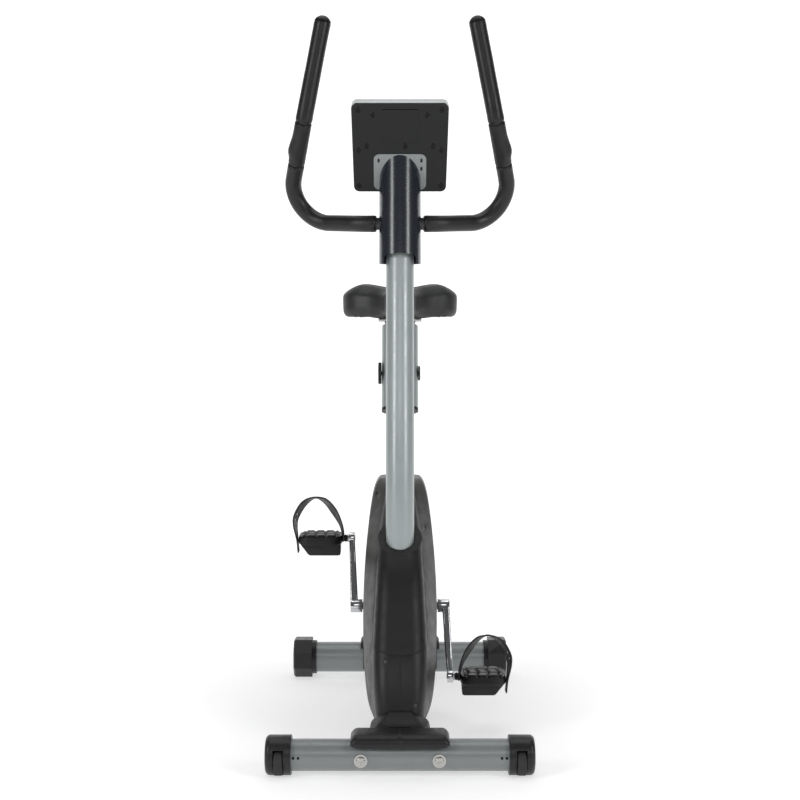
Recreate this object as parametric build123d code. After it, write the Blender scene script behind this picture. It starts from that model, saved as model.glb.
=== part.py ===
from build123d import *
from math import acos, cos, degrees, radians, sin, tan
import os

# Upright exercise bike. Millimetres, +Z up, floor at z = 0, +X to the rider's left, the rider faces -Y.
# Depths are laid out from the front stabilizer's axis (depth 0) and grow towards the rear. At export the
# whole bike is moved by CENTRE_SHIFT so that the origin is at the middle of its footprint.

# ---- overall layout ----
WHEELBASE = 748.0
BIKE_WIDTH = 500.0
FRONT_AXIS_Z = 36.0
REAR_AXIS_Z = 44.0
FRONT_BOLT_Z = 33.0
FRONT_TUBE_RADIUS = 29.5
REAR_TUBE_RADIUS = 35.0
WALL = 2.0
CRANK_DEPTH = 370.0
CRANK_Z = 242.0
CRANK_LENGTH = 152.0
CRANK_ANGLE = 30.0
CENTRE_SHIFT = 375.0

# ---- stabilizers ----
FRONT_CAP_RADIUS = 37.0
FRONT_CAP_INNER_X = 202.0
FRONT_TUBE_HALF = 212.0
WHEEL_X = 225.0
WHEEL_DEPTH = -18.0
WHEEL_Z = 27.0
WHEEL_RADIUS = 24.0
WHEEL_WIDTH = 16.6
WHEEL_SLOT = 19.0
WHEEL_PIN_RADIUS = 3.0
LEVEL_CAP_FLATS = 88.0
LEVEL_CAP_INNER_X = 207.0
REAR_TUBE_HALF = 238.0
COVER_HALF = 92.5
BRACKET_HALF = 86.0
BRACKET_THICKNESS = 3.0
STABILIZER_BOLT_X = 72.5
STABILIZER_BOLT_RADIUS = 4.0

# ---- frame ----
BEAM_HALF = 20.0
BEAM_BOTTOM = 40.0
BEAM_TOP = 84.0
BB_RADIUS = 22.0
BB_BORE = 18.5
BB_HALF = 36.0
MAST_LEAN = 20.5
MAST_WIDTH = 58.0
MAST_DEPTH = 34.0
MAST_LENGTH = 610.0
SPIGOT_RADIUS = 26.3
SPIGOT_BOTTOM = 288.0
SPIGOT_TOP = 392.0
HEAD_BEAM_HALF = 18.0
HEAD_BEAM_Z = 308.0

# ---- handlebar post ----
POST_RADIUS = 28.5
POST_BOTTOM = 334.0
POST_FOOT_DEPTH = 246.0
POST_KNEE_DEPTH = 241.0
POST_KNEE_Z = 560.0
POST_LEAN = 13.3
POST_BEND_RADIUS = 1300.0
BAR_Z = 1041.0
BAR_DEPTH = POST_KNEE_DEPTH + (BAR_Z - POST_KNEE_Z) * tan(radians(POST_LEAN))

# ---- handlebar ----
BAR_RADIUS = 12.7
GRIP_RADIUS = 17.0
GRIP_START_X = 46.5
BAR_CORNER = (243.0, 468.0, 1051.0)
BAR_RISE = (194.0, 302.0, 1247.0)
BAR_TIP = (155.5, 304.0, 1443.0)
BAR_STRAIGHT_X = 70.0
BAR_KNEE_RADIUS = 110.0
BAR_CORNER_RADIUS = 68.0
BAR_RISE_RADIUS = 85.0
SENSOR_START = 0.60
SENSOR_END = 0.86
SENSOR_RADIUS = 19.0
PLUG_HEIGHT = 12.0

# ---- neck cover and console ----
NECK_RADIUS = 43.0
NECK_WALL = 3.0
NECK_BOTTOM = 958.0
NECK_ARCH_TOP = 979.0
NECK_SEAM_APEX = 1087.0
CONSOLE_TILT = 29.0
CONSOLE_TOP_WIDTH = 198.0
CONSOLE_BOTTOM_WIDTH = 191.0
CONSOLE_HEIGHT = 192.0
CONSOLE_DEPTH = 20.0
CONSOLE_WALL = 2.6
BEZEL_THICKNESS = 6.0
PLATE_POINT = (350.0, 1174.5)
PLATE_THICKNESS = 2.5
PLATE_WIDTH = 108.0
PLATE_HEIGHT = 79.0
STEM_RADIUS = 15.0
BUTTON_TRAVEL = 1.5

# ---- housing ----
HOUSING_WALL = 3.0
COLLAR_RADIUS = 44.0
COLLAR_RIM_FRONT_Z = 377.0
COLLAR_SLOPE = 33.0
COVER_SEAM_Z = 198.0
SEAM_GAP = 0.4

# ---- drive ----
CRANK_AXLE_RADIUS = 10.0
BEARING_GAP = 0.05
PULLEY_X = -50.0
PULLEY_WIDTH = 14.0
BELT_WIDTH = 12.0
PULLEY_RADIUS = 98.0
BELT_GAP = 0.4
BELT_THICKNESS = 3.0
SMALL_PULLEY_RADIUS = 13.0
FLYWHEEL_DEPTH = 185.0
FLYWHEEL_Z = 190.0
FLYWHEEL_RADIUS = 80.0
FLYWHEEL_HALF = 11.0
FLYWHEEL_AXLE_RADIUS = 6.0
FORK_INNER_X = 15.0
FORK_THICKNESS = 5.0
MAGNET_PIVOT = (279.0, 206.0)
MAGNET_SWING = 4.0

# ---- crank and pedals ----
BOSS_INNER_X = 79.0
BOSS_OUTER_X = 104.0
BOSS_RADIUS = 14.0
EYE_RADIUS = 13.0
ARM_EYE_INNER_X = 97.0
ARM_EYE_OUTER_X = 109.0
PEDAL_INNER_X = 123.0
PEDAL_OUTER_X = 217.0
PEDAL_LENGTH = 96.0
PEDAL_HALF_THICKNESS = 9.0
PEDAL_KEEL = 30.0
SPINDLE_RADIUS = 6.0
STRAP_HEIGHT = 78.0
STRAP_WIDTH = 28.0
STRAP_THICKNESS = 3.0

# ---- seat ----
SLEEVE_WIDTH = 80.0
SLEEVE_DEPTH = 45.0
SLEEVE_BOTTOM = 434.0
SLEEVE_TOP = 625.0
LOCK_HEIGHT = 515.0
SEAT_PIVOT = (596.0, 842.0)
PAD_BOTTOM = 866.0
PAD_TOP = 922.0
PAD_HALF_WIDTH = 135.5
PAN_INSET = 16.0
EARS_PLATE_HALF = 28.0
PAD_FRONT = 505.0
PAD_REAR = 762.0

nodes = {}


# ---- helpers ----
def rod_x(radius, x0, x1, depth, z):
    return Pos((x0 + x1) / 2, depth, z) * Rot(0, 90, 0) * Cylinder(radius, x1 - x0)


def tube_x(outer, inner, x0, x1, depth, z):
    return rod_x(outer, x0, x1, depth, z) - rod_x(inner, x0 - 1, x1 + 1, depth, z)


def block(x0, x1, d0, d1, z0, z1):
    centre = Pos((x0 + x1) / 2, (d0 + d1) / 2, (z0 + z1) / 2)
    return centre * Box(x1 - x0, d1 - d0, z1 - z0)


def side_plate(points, x0, x1):
    """A flat plate with the outline given as (depth, z) points, from x0 to x1."""
    face = make_face(Plane.YZ.offset(x0) * Polyline(*points, close=True))
    return extrude(face, x1 - x0, dir=(1, 0, 0))


def front_prism(face, d0, d1):
    """Extrudes a face drawn in (x, z) from depth d0 to depth d1."""
    return extrude(Plane.XZ.offset(-d0) * face, d1 - d0, dir=(0, 1, 0))


def cylinder_along(radius, plane, start, end):
    return extrude(plane.offset(start) * Circle(radius), end - start)


def mirrored_x(shape):
    return mirror(shape, about=Plane.YZ)


def both_sides(name, left_shape):
    """Keeps a left piece and its mirror image as two nodes."""
    nodes[name + "_left"] = left_shape
    nodes[name + "_right"] = mirrored_x(left_shape)


def group(shapes):
    return Compound(children=list(shapes))


# ---- planes along the leaning members ----
mast_plane = Plane(
    origin=(0, CRANK_DEPTH, CRANK_Z),
    x_dir=(1, 0, 0),
    z_dir=(0, sin(radians(MAST_LEAN)), cos(radians(MAST_LEAN))),
)
neck_plane = Plane(
    origin=(0, BAR_DEPTH, BAR_Z),
    x_dir=(1, 0, 0),
    z_dir=(0, sin(radians(POST_LEAN)), cos(radians(POST_LEAN))),
)
# Local +Z points to the rider and local +Y runs up the slope of the console.
console_plane = Plane(
    origin=(0, *PLATE_POINT),
    x_dir=(-1, 0, 0),
    z_dir=(0, cos(radians(CONSOLE_TILT)), sin(radians(CONSOLE_TILT))),
)


def oval_tube(width, depth, wall, start, end):
    outer = extrude(mast_plane.offset(start) * SlotOverall(width, depth), end - start)
    bore = SlotOverall(width - 2 * wall, depth - 2 * wall)
    return outer - extrude(mast_plane.offset(start - 1) * bore, end - start + 2)


# ---- front stabilizer ----
def front_tube():
    tube = tube_x(
        FRONT_TUBE_RADIUS, FRONT_TUBE_RADIUS - WALL, -FRONT_TUBE_HALF, FRONT_TUBE_HALF, 0, FRONT_AXIS_Z
    )
    for x in (-STABILIZER_BOLT_X, STABILIZER_BOLT_X):
        tube -= Pos(x, 0, FRONT_BOLT_Z) * Rot(90, 0, 0) * Cylinder(STABILIZER_BOLT_RADIUS + 0.2, 90)
    return tube


def front_end_cap():
    cap = rod_x(FRONT_CAP_RADIUS, FRONT_CAP_INNER_X, BIKE_WIDTH / 2, 0, FRONT_AXIS_Z)
    cap = fillet(cap.edges().sort_by(Axis.X)[-1:], 9)
    cap -= rod_x(FRONT_TUBE_RADIUS, FRONT_CAP_INNER_X - 1, FRONT_TUBE_HALF, 0, FRONT_AXIS_Z)
    slot_x0 = WHEEL_X - WHEEL_SLOT / 2
    slot_x1 = WHEEL_X + WHEEL_SLOT / 2
    cap -= rod_x(WHEEL_RADIUS + 2, slot_x0, slot_x1, WHEEL_DEPTH, WHEEL_Z)
    cap -= block(slot_x0, slot_x1, -60, WHEEL_DEPTH, WHEEL_Z - 30, WHEEL_Z + WHEEL_RADIUS + 2)
    cap -= rod_x(WHEEL_PIN_RADIUS, 213.5, 241, WHEEL_DEPTH, WHEEL_Z)
    return cap & block(190, 260, -60, 60, 0, 90)


def transport_wheel():
    half = WHEEL_WIDTH / 2
    wheel = rod_x(WHEEL_RADIUS, WHEEL_X - half, WHEEL_X + half, WHEEL_DEPTH, WHEEL_Z)
    wheel = fillet(wheel.edges().filter_by(GeomType.CIRCLE), 3)
    return wheel - rod_x(WHEEL_PIN_RADIUS + BEARING_GAP, 200, 250, WHEEL_DEPTH, WHEEL_Z)


def saddle_bracket(axis_depth, axis_z, bolt_z, tube_radius, towards):
    """A curved steel saddle welded to the beam, wrapped round the tube's inner side and top."""
    outer = tube_radius + BRACKET_THICKNESS
    ring = tube_x(outer, tube_radius, -BRACKET_HALF, BRACKET_HALF, axis_depth, axis_z)
    low = axis_z - 24
    keep = block(-BRACKET_HALF, BRACKET_HALF, axis_depth - 90, axis_depth + 90, low, 200)
    cut_d = axis_depth - towards * 5
    d0, d1 = sorted((cut_d, axis_depth + towards * 90))
    ring = ring & keep & block(-BRACKET_HALF, BRACKET_HALF, d0, d1, 0, 200)
    for x in (-STABILIZER_BOLT_X, STABILIZER_BOLT_X):
        ring -= Pos(x, axis_depth, bolt_z) * Rot(90, 0, 0) * Cylinder(STABILIZER_BOLT_RADIUS + 0.2, 160)
    return ring


def saddle_cover(axis_depth, axis_z, tube_radius, towards, thickness, low_z):
    """The moulded cover over the saddle bracket and the top of the tube."""
    inner = tube_radius + BRACKET_THICKNESS + 0.3
    outer = rod_x(inner + thickness, -COVER_HALF, COVER_HALF, axis_depth + towards * 4, axis_z + 4)
    outer = fillet(outer.edges().filter_by(GeomType.CIRCLE), 11)
    cover = outer - rod_x(inner, -COVER_HALF - 1, COVER_HALF + 1, axis_depth, axis_z)
    d0, d1 = sorted((axis_depth - towards * 90, axis_depth + towards * 28))
    cover = cover & block(-COVER_HALF, COVER_HALF, d0, d1, low_z, 200)
    beam_side = sorted((axis_depth, axis_depth + towards * 60))
    return cover - block(-BEAM_HALF - 1, BEAM_HALF + 1, *beam_side, 0, BEAM_TOP + 1)


def rear_cover():
    """The rear saddle cover, cut away round the bolt heads."""
    cover = saddle_cover(WHEELBASE, REAR_AXIS_Z, REAR_TUBE_RADIUS, -1, 9, 24)
    for x in (-STABILIZER_BOLT_X, STABILIZER_BOLT_X):
        cover -= Pos(x, WHEELBASE + 45, REAR_AXIS_Z) * Rot(90, 0, 0) * Cylinder(13.5, 60)
    return cover


def stabilizer_bolt(x, axis_depth, axis_z, tube_radius, outward):
    """Button head and washer on the tube's outer face, shank through the tube, nut on the saddle."""
    def along(radius, start, length):
        middle = axis_depth + outward * (start + length / 2)
        return Pos(x, middle, axis_z) * Rot(90, 0, 0) * Cylinder(radius, length)
    washer = along(12.5, tube_radius + 0.1, 1.8)
    head = along(8.5, tube_radius + 1.9, 4.5)
    head = fillet(head.edges().group_by(Axis.Y)[0 if outward < 0 else -1], 2.5)
    recess = Pos(x, axis_depth + outward * (tube_radius + 6.4), axis_z)
    head -= recess * Box(9, 4, 2) + recess * Box(2, 4, 9)
    shank = along(STABILIZER_BOLT_RADIUS, -(tube_radius + 15), 2 * tube_radius + 15.1)
    nut = along(7.0, -(tube_radius + 11), 6.5)
    return washer + head + shank + nut


# ---- rear stabilizer ----
def rear_tube():
    tube = tube_x(
        REAR_TUBE_RADIUS, REAR_TUBE_RADIUS - WALL, -REAR_TUBE_HALF, REAR_TUBE_HALF, WHEELBASE, REAR_AXIS_Z
    )
    for x in (-STABILIZER_BOLT_X, STABILIZER_BOLT_X):
        hole = Cylinder(STABILIZER_BOLT_RADIUS + 0.2, 110)
        tube -= Pos(x, WHEELBASE, REAR_AXIS_Z) * Rot(90, 0, 0) * hole
    return tube


def levelling_cap():
    corner_radius = LEVEL_CAP_FLATS / 2 / cos(radians(22.5))
    octagon = Rot(0, 0, 22.5) * RegularPolygon(corner_radius, 8)
    start = Plane(origin=(LEVEL_CAP_INNER_X, WHEELBASE, REAR_AXIS_Z), x_dir=(0, 1, 0), z_dir=(1, 0, 0))
    width = BIKE_WIDTH / 2 - LEVEL_CAP_INNER_X
    cap = extrude(start * octagon, width)
    cap = chamfer(cap.faces().sort_by(Axis.X)[-1].edges(), 4)
    cap += tube_x(39, 36, LEVEL_CAP_INNER_X - 10, LEVEL_CAP_INNER_X + 1, WHEELBASE, REAR_AXIS_Z)
    bore = REAR_TUBE_RADIUS + BEARING_GAP
    return cap - rod_x(bore, LEVEL_CAP_INNER_X - 11, REAR_TUBE_HALF + 1, WHEELBASE, REAR_AXIS_Z)


# ---- frame ----
def low_beam():
    beam = block(-BEAM_HALF, BEAM_HALF, 10, WHEELBASE - 10, BEAM_BOTTOM, BEAM_TOP)
    inside = BEAM_HALF - WALL
    beam -= block(-inside, inside, 0, WHEELBASE, BEAM_BOTTOM + WALL, BEAM_TOP - WALL)
    front_clear = FRONT_TUBE_RADIUS + BRACKET_THICKNESS
    rear_clear = REAR_TUBE_RADIUS + BRACKET_THICKNESS
    beam -= rod_x(front_clear, -60, 60, 0, FRONT_AXIS_Z)
    beam -= rod_x(rear_clear, -60, 60, WHEELBASE, REAR_AXIS_Z)
    return beam & block(-60, 60, 20, WHEELBASE - 20, 0, 200)


def bottom_bracket_shell():
    return tube_x(BB_RADIUS, BB_BORE, -BB_HALF, BB_HALF, CRANK_DEPTH, CRANK_Z)


def crank_post():
    """The short upright between the low beam and the bottom bracket shell."""
    post = oval_tube(MAST_WIDTH, MAST_DEPTH, WALL, -190, 0)
    post -= rod_x(BB_RADIUS, -60, 60, CRANK_DEPTH, CRANK_Z)
    return post & block(-60, 60, 200, 500, BEAM_TOP, CRANK_Z)


def seat_mast():
    mast = oval_tube(MAST_WIDTH, MAST_DEPTH, WALL, 0, MAST_LENGTH)
    return mast - rod_x(BB_RADIUS, -60, 60, CRANK_DEPTH, CRANK_Z)


def foot_plane():
    """Plane at the lower end of the handlebar post, square to it."""
    slope = Vector(0, POST_KNEE_DEPTH - POST_FOOT_DEPTH, POST_KNEE_Z - POST_BOTTOM)
    return Plane(origin=(0, POST_FOOT_DEPTH, POST_BOTTOM), x_dir=(1, 0, 0), z_dir=slope)


def head_spigot():
    start = SPIGOT_BOTTOM - POST_BOTTOM
    end = SPIGOT_TOP - POST_BOTTOM
    inner = SPIGOT_RADIUS - 2.4
    spigot = cylinder_along(SPIGOT_RADIUS, foot_plane(), start, end)
    return spigot - cylinder_along(inner, foot_plane(), start - 1, end + 1)


def head_beam():
    mast_front = CRANK_DEPTH + (HEAD_BEAM_Z - CRANK_Z) * tan(radians(MAST_LEAN))
    z0 = HEAD_BEAM_Z - HEAD_BEAM_HALF
    z1 = HEAD_BEAM_Z + HEAD_BEAM_HALF
    beam = block(-HEAD_BEAM_HALF, HEAD_BEAM_HALF, POST_FOOT_DEPTH, mast_front, z0, z1)
    inside = HEAD_BEAM_HALF - WALL
    beam -= block(-inside, inside, POST_FOOT_DEPTH - 1, mast_front + 1, z0 + WALL, z1 - WALL)
    beam -= cylinder_along(SPIGOT_RADIUS - 1, foot_plane(), -80, 0)
    solid_mast = extrude(mast_plane * SlotOverall(MAST_WIDTH, MAST_DEPTH), MAST_LENGTH)
    return beam - solid_mast


def fork_plate():
    outline = (
        (140, BEAM_TOP),
        (262, BEAM_TOP),
        (MAGNET_PIVOT[0] + 12, MAGNET_PIVOT[1] - 2),
        (MAGNET_PIVOT[0], MAGNET_PIVOT[1] + 12),
        (FLYWHEEL_DEPTH + 12, FLYWHEEL_Z + 22),
        (FLYWHEEL_DEPTH - 20, FLYWHEEL_Z + 14),
    )
    plate = side_plate(outline, FORK_INNER_X, FORK_INNER_X + FORK_THICKNESS)
    plate -= rod_x(14, 0, 60, FLYWHEEL_DEPTH, FLYWHEEL_Z)
    return plate - rod_x(4, 0, 60, *MAGNET_PIVOT)


# ---- handlebar post ----
def post_path():
    return FilletPolyline(
        (0, POST_FOOT_DEPTH, POST_BOTTOM),
        (0, POST_KNEE_DEPTH, POST_KNEE_Z),
        (0, BAR_DEPTH, BAR_Z),
        radius=POST_BEND_RADIUS,
    )


def handlebar_post():
    path = post_path()
    start = Plane(origin=path @ 0, z_dir=path % 0)
    post = sweep(start * (Circle(POST_RADIUS) - Circle(POST_RADIUS - WALL)), path)
    post -= rod_x(BAR_RADIUS + BEARING_GAP, -60, 60, BAR_DEPTH, BAR_Z)
    knob_hole = Cylinder(5.0, 60)
    return post - knob_plane() * knob_hole


def knob_plane():
    """Plane on the post's rear face, facing the rider, with its normal square to the post."""
    height = 770.0
    axis_depth = POST_KNEE_DEPTH + (height - POST_KNEE_Z) * tan(radians(POST_LEAN))
    normal = (0, cos(radians(POST_LEAN)), -sin(radians(POST_LEAN)))
    origin = Vector(0, axis_depth, height) + Vector(*normal) * POST_RADIUS
    return Plane(origin=origin, x_dir=(1, 0, 0), z_dir=normal)


def tension_knob():
    plane = knob_plane()
    knob = cylinder_along(23, plane, 12.5, 32)
    knob = fillet(knob.edges().filter_by(GeomType.CIRCLE), 3)
    for step in range(10):
        angle = radians(36 * step)
        notch = plane * Pos(27 * cos(angle), 27 * sin(angle), 22) * Cylinder(6, 30)
        knob -= notch
    spindle = cylinder_along(3.5, plane, -12, 13)
    return knob + spindle


def tension_base():
    plane = knob_plane()
    base = cylinder_along(27, plane, -16, 12)
    base -= cylinder_along(3.5 + BEARING_GAP, plane, -30, 30)
    post_axis = plane.offset(-POST_RADIUS)
    along_post = Plane(origin=post_axis.origin, x_dir=(1, 0, 0), z_dir=neck_plane.z_dir)
    return base - cylinder_along(POST_RADIUS + 0.05, along_post, -60, 60)


def tension_cable():
    path = FilletPolyline((0, 276, 745), (0, 243, 600), (0, 243, 340), (0, 228, 298), radius=120)
    start = Plane(origin=path @ 0, z_dir=path % 0)
    return sweep(start * Circle(2.5), path)


# ---- handlebar ----
rise_vector = Vector(*BAR_RISE) - Vector(*BAR_CORNER)
rise_direction = rise_vector.normalized()
tip_direction = (Vector(*BAR_TIP) - Vector(*BAR_RISE)).normalized()


def bar_path():
    left = [BAR_TIP, BAR_RISE, BAR_CORNER, (BAR_STRAIGHT_X, BAR_DEPTH, BAR_Z)]
    right = [(-x, depth, z) for x, depth, z in reversed(left)]
    bends = [BAR_RISE_RADIUS, BAR_CORNER_RADIUS, BAR_KNEE_RADIUS]
    return FilletPolyline(*left, *right, radius=bends + bends[::-1])


def bar_sweep(outer, inner):
    path = bar_path()
    start = Plane(origin=path @ 0, z_dir=path % 0)
    return sweep(start * (Circle(outer) - Circle(inner)), path)


def rise_plane(fraction):
    """Plane across the rising part of the left grip, with local +X pointing outwards."""
    origin = Vector(*BAR_CORNER) + rise_vector * fraction
    return Plane(origin=origin, x_dir=(1, 0, 0.25), z_dir=rise_direction)


def beyond(plane):
    return extrude(plane * Rectangle(900, 900), 900)


def lower_grip():
    foam = bar_sweep(GRIP_RADIUS, BAR_RADIUS) & block(GRIP_START_X, 400, 0, 900, 900, 1500)
    return foam - beyond(rise_plane(SENSOR_START))


def upper_grip():
    foam = bar_sweep(GRIP_RADIUS, BAR_RADIUS) & block(GRIP_START_X, 400, 0, 900, 900, 1500)
    return foam & beyond(rise_plane(SENSOR_END))


def pulse_sensor():
    plane = rise_plane(SENSOR_START)
    length = rise_vector.length * (SENSOR_END - SENSOR_START)
    body = extrude(plane * Pos(2.5, 0) * Ellipse(SENSOR_RADIUS + 3, SENSOR_RADIUS), length)
    body = fillet(body.edges(), 2)
    return body - cylinder_along(BAR_RADIUS, plane, -5, length + 5)


def pulse_plate():
    """Thin metal contact plate on the rider's side of the sensor."""
    length = rise_vector.length * (SENSOR_END - SENSOR_START)
    plane = rise_plane(SENSOR_START).offset(10)
    centre = Pos(2.5, 0)
    ring = Ellipse(SENSOR_RADIUS + 3.9, SENSOR_RADIUS + 0.9) - Ellipse(SENSOR_RADIUS + 3, SENSOR_RADIUS)
    window = Pos(2.5, 15 if plane.y_dir.Y > 0 else -15) * Rectangle(26, 30)
    return extrude(plane * (centre * ring & window), length - 20)


def grip_end_plug():
    sphere_radius = (GRIP_RADIUS**2 + PLUG_HEIGHT**2) / (2 * PLUG_HEIGHT)
    tip = Plane(origin=BAR_TIP, z_dir=tip_direction)
    dome = tip * Pos(0, 0, PLUG_HEIGHT - sphere_radius) * Sphere(sphere_radius)
    plug = dome & extrude(tip * Rectangle(60, 60), 30)
    return plug + cylinder_along(BAR_RADIUS - WALL, tip, -15, 1)


def handlebar_clamp():
    clamp = cylinder_along(POST_RADIUS, neck_plane, 1, 44)
    clamp -= cylinder_along(STEM_RADIUS - 1, neck_plane, 22, 60)
    clamp -= rod_x(BAR_RADIUS + BEARING_GAP, -60, 60, BAR_DEPTH, BAR_Z)
    for offset in (-21, 21):
        clamp -= neck_plane * Pos(0, offset, 20) * Cylinder(3, 80)
    return clamp


def clamp_bolts():
    bolts = []
    for offset in (-21, 21):
        at = neck_plane * Pos(0, offset)
        bolts.append(at * (Pos(0, 0, 24) * Cylinder(3, 40) + Pos(0, 0, 46.5) * Cylinder(5, 5)))
    return bolts


# ---- neck cover ----
def neck_shell():
    reach = 260
    low = -120
    shell = cylinder_along(NECK_RADIUS, neck_plane, low, reach)
    shell -= cylinder_along(NECK_RADIUS - NECK_WALL, neck_plane, low - 1, reach + 1)
    shell = shell & block(-60, 60, 200, 600, NECK_BOTTOM, 1300)
    behind_plate = extrude(console_plane.offset(-PLATE_THICKNESS) * Rectangle(400, 400), 400)
    shell -= behind_plate
    mouth = Pos(0, NECK_ARCH_TOP - 9) * Ellipse(32, 9) + Pos(0, NECK_ARCH_TOP - 34) * Rectangle(64, 50)
    arch = front_prism(mouth, 200, BAR_DEPTH - 20)
    shell -= arch
    shell -= rod_x(BAR_RADIUS + 2.2, -80, 80, BAR_DEPTH, BAR_Z)
    return shell


def neck_front_region():
    height = NECK_SEAM_APEX - BAR_Z
    outline = Pos(0, BAR_Z) * Ellipse(NECK_RADIUS + 2, height)
    outline += Pos(0, BAR_Z - 75) * Rectangle(2 * NECK_RADIUS + 4, 150)
    front = front_prism(outline, 200, 420)
    forwards = (0, -cos(radians(POST_LEAN)), sin(radians(POST_LEAN)))
    bar_face = Plane(origin=(0, BAR_DEPTH, BAR_Z), x_dir=(1, 0, 0), z_dir=forwards)
    ahead = extrude(bar_face * Rectangle(400, 400), 200)
    return front & ahead


def console_box(bottom_width, top_width, height, start, thickness, radius):
    half = height / 2
    outline = Polyline(
        (-bottom_width / 2, -half), (bottom_width / 2, -half), (top_width / 2, half), (-top_width / 2, half), close=True
    )
    face = fillet(make_face(outline).vertices(), radius)
    return extrude(console_centre.offset(start) * face, thickness)


console_centre = Plane(
    origin=console_plane.origin + console_plane.y_dir * (CONSOLE_HEIGHT / 2 - 74),
    x_dir=console_plane.x_dir,
    z_dir=console_plane.z_dir,
)


def console_outline(start, thickness, inset=0.0):
    bottom = CONSOLE_BOTTOM_WIDTH - 2 * inset
    top = CONSOLE_TOP_WIDTH - 2 * inset
    return console_box(bottom, top, CONSOLE_HEIGHT - 2 * inset, start, thickness, 12)


def console_back():
    tray = console_outline(0, CONSOLE_DEPTH)
    tray -= console_outline(CONSOLE_WALL, CONSOLE_DEPTH, CONSOLE_WALL)
    for x, y in CONSOLE_SCREWS:
        tray -= console_centre * Pos(x, y, 0) * Cylinder(2.0, 40)
    return tray - console_centre * Pos(0, 49, 0) * Box(74, 70, 1.6)


CONSOLE_SCREWS = [(x, y) for x in (-85, 85) for y in (-83, -4, 83)]
CONSOLE_SCREWS += [(-55, 72), (55, 72), (-68, 5), (68, 5), (-11, 5)]


def console_screws():
    return [console_centre * Pos(x, y, 6) * Cylinder(2.0, 11.5) for x, y in CONSOLE_SCREWS]


def console_bezel():
    frame = console_outline(CONSOLE_DEPTH, BEZEL_THICKNESS)
    window = console_centre.offset(CONSOLE_DEPTH - 1) * Pos(0, 32) * RectangleRounded(150, 100, 6)
    frame -= extrude(window, BEZEL_THICKNESS + 2)
    for x in BUTTON_X:
        frame -= button_plane(x) * Box(BUTTON_SIZE[0] + 0.8, BUTTON_SIZE[1] + 0.8, 40)
    return frame


BUTTON_X = (-44, 0, 44)
BUTTON_SIZE = (26, 16)


def button_plane(x):
    return console_centre.offset(CONSOLE_DEPTH) * Pos(x, -58, 0)


def console_button(x):
    proud = 2
    behind = 4
    middle = button_plane(x) * Pos(0, 0, (BEZEL_THICKNESS + proud - behind) / 2)
    return middle * Box(*BUTTON_SIZE, BEZEL_THICKNESS + proud + behind)


def display_lens():
    return extrude(console_centre.offset(CONSOLE_DEPTH) * Pos(0, 32) * RectangleRounded(149.4, 99.4, 5.7), 4)


def circuit_board():
    board = extrude(console_centre.offset(10) * Pos(0, -5) * Rectangle(150, 150), 1.6)
    for x, y in CONSOLE_SCREWS:
        board -= console_centre * Pos(x, y, 10) * Cylinder(2.6, 12)
    return board


def battery_cover():
    return console_centre * Pos(0, 49, -0.35) * Box(73.4, 69.4, 2.2)


def console_bracket():
    plate_plane = console_plane.offset(-PLATE_THICKNESS) * Pos(0, -PLATE_HEIGHT / 2 + 10)
    plate = extrude(plate_plane * RectangleRounded(PLATE_WIDTH, PLATE_HEIGHT, 12), PLATE_THICKNESS)
    for x, y in ((-44, -4), (44, -4), (-44, -22)):
        slot = console_plane.offset(-10) * Pos(x, y) * SlotOverall(9, 4.6, rotation=90)
        plate -= extrude(slot, 20)
    stem = cylinder_along(STEM_RADIUS, neck_plane, 22.5, 240)
    stem -= cylinder_along(STEM_RADIUS - 2.4, neck_plane, 24, 241)
    stem -= extrude(console_plane.offset(-PLATE_THICKNESS / 2) * Rectangle(500, 500), 400)
    return plate + stem


# ---- housing ----
# (z, front depth, rear depth, half width, half width of the prow) of each level section.
HOUSING_LEVELS = (
    (66, 47, 470, 57, 44),
    (110, 60, 500, 68, 48),
    (200, 92, 520, 74, 52),
    (300, 140, 530, 74, 47),
    (372, 196, 536, 70, 43),
    (425, 282, 540, 65, 38),
    (470, 356, 541, 58, 30),
    (502, 425, 540, 42, 20),
)
PROW_LENGTH = 0.13
SHOULDER_AT = 0.33
TAIL_LENGTH = 0.16


def housing_section(front, rear, half, prow):
    """A level section: a narrow prow, a crease, broad flanks and a rounded tail."""
    length = rear - front
    corners = (
        (prow, front, 0.62 * prow),
        (prow + 1.5, front + PROW_LENGTH * length, 5),
        (half, front + SHOULDER_AT * length, 0.07 * length),
        (half, rear - TAIL_LENGTH * length, 0.06 * length),
        (0.55 * half, rear, 0.04 * length),
    )
    right = [(x, depth) for x, depth, radius in corners]
    left = [(-x, depth) for x, depth in reversed(right)]
    radii = [radius for x, depth, radius in corners]
    return make_face(FilletPolyline(*right, *left, radius=radii + radii[::-1], close=True))


def housing_solid(inset):
    sections = []
    for z, front, rear, half, prow in HOUSING_LEVELS:
        level = z
        if z == HOUSING_LEVELS[0][0]:
            level = z + inset
        if z == HOUSING_LEVELS[-1][0]:
            level = z - inset
        section = housing_section(front + inset, rear - inset, half - inset, prow - inset)
        sections.append(Pos(0, 0, level) * section)
    return loft(sections)


def collar_rim(overlap=0.0):
    """Everything under the sloping rim plane of the post collar."""
    plane = Plane(
        origin=(0, POST_FOOT_DEPTH - COLLAR_RADIUS, COLLAR_RIM_FRONT_Z + overlap),
        x_dir=(1, 0, 0),
        z_dir=(0, sin(radians(COLLAR_SLOPE)), -cos(radians(COLLAR_SLOPE))),
    )
    return extrude(plane * Rectangle(600, 600), 400)


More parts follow.
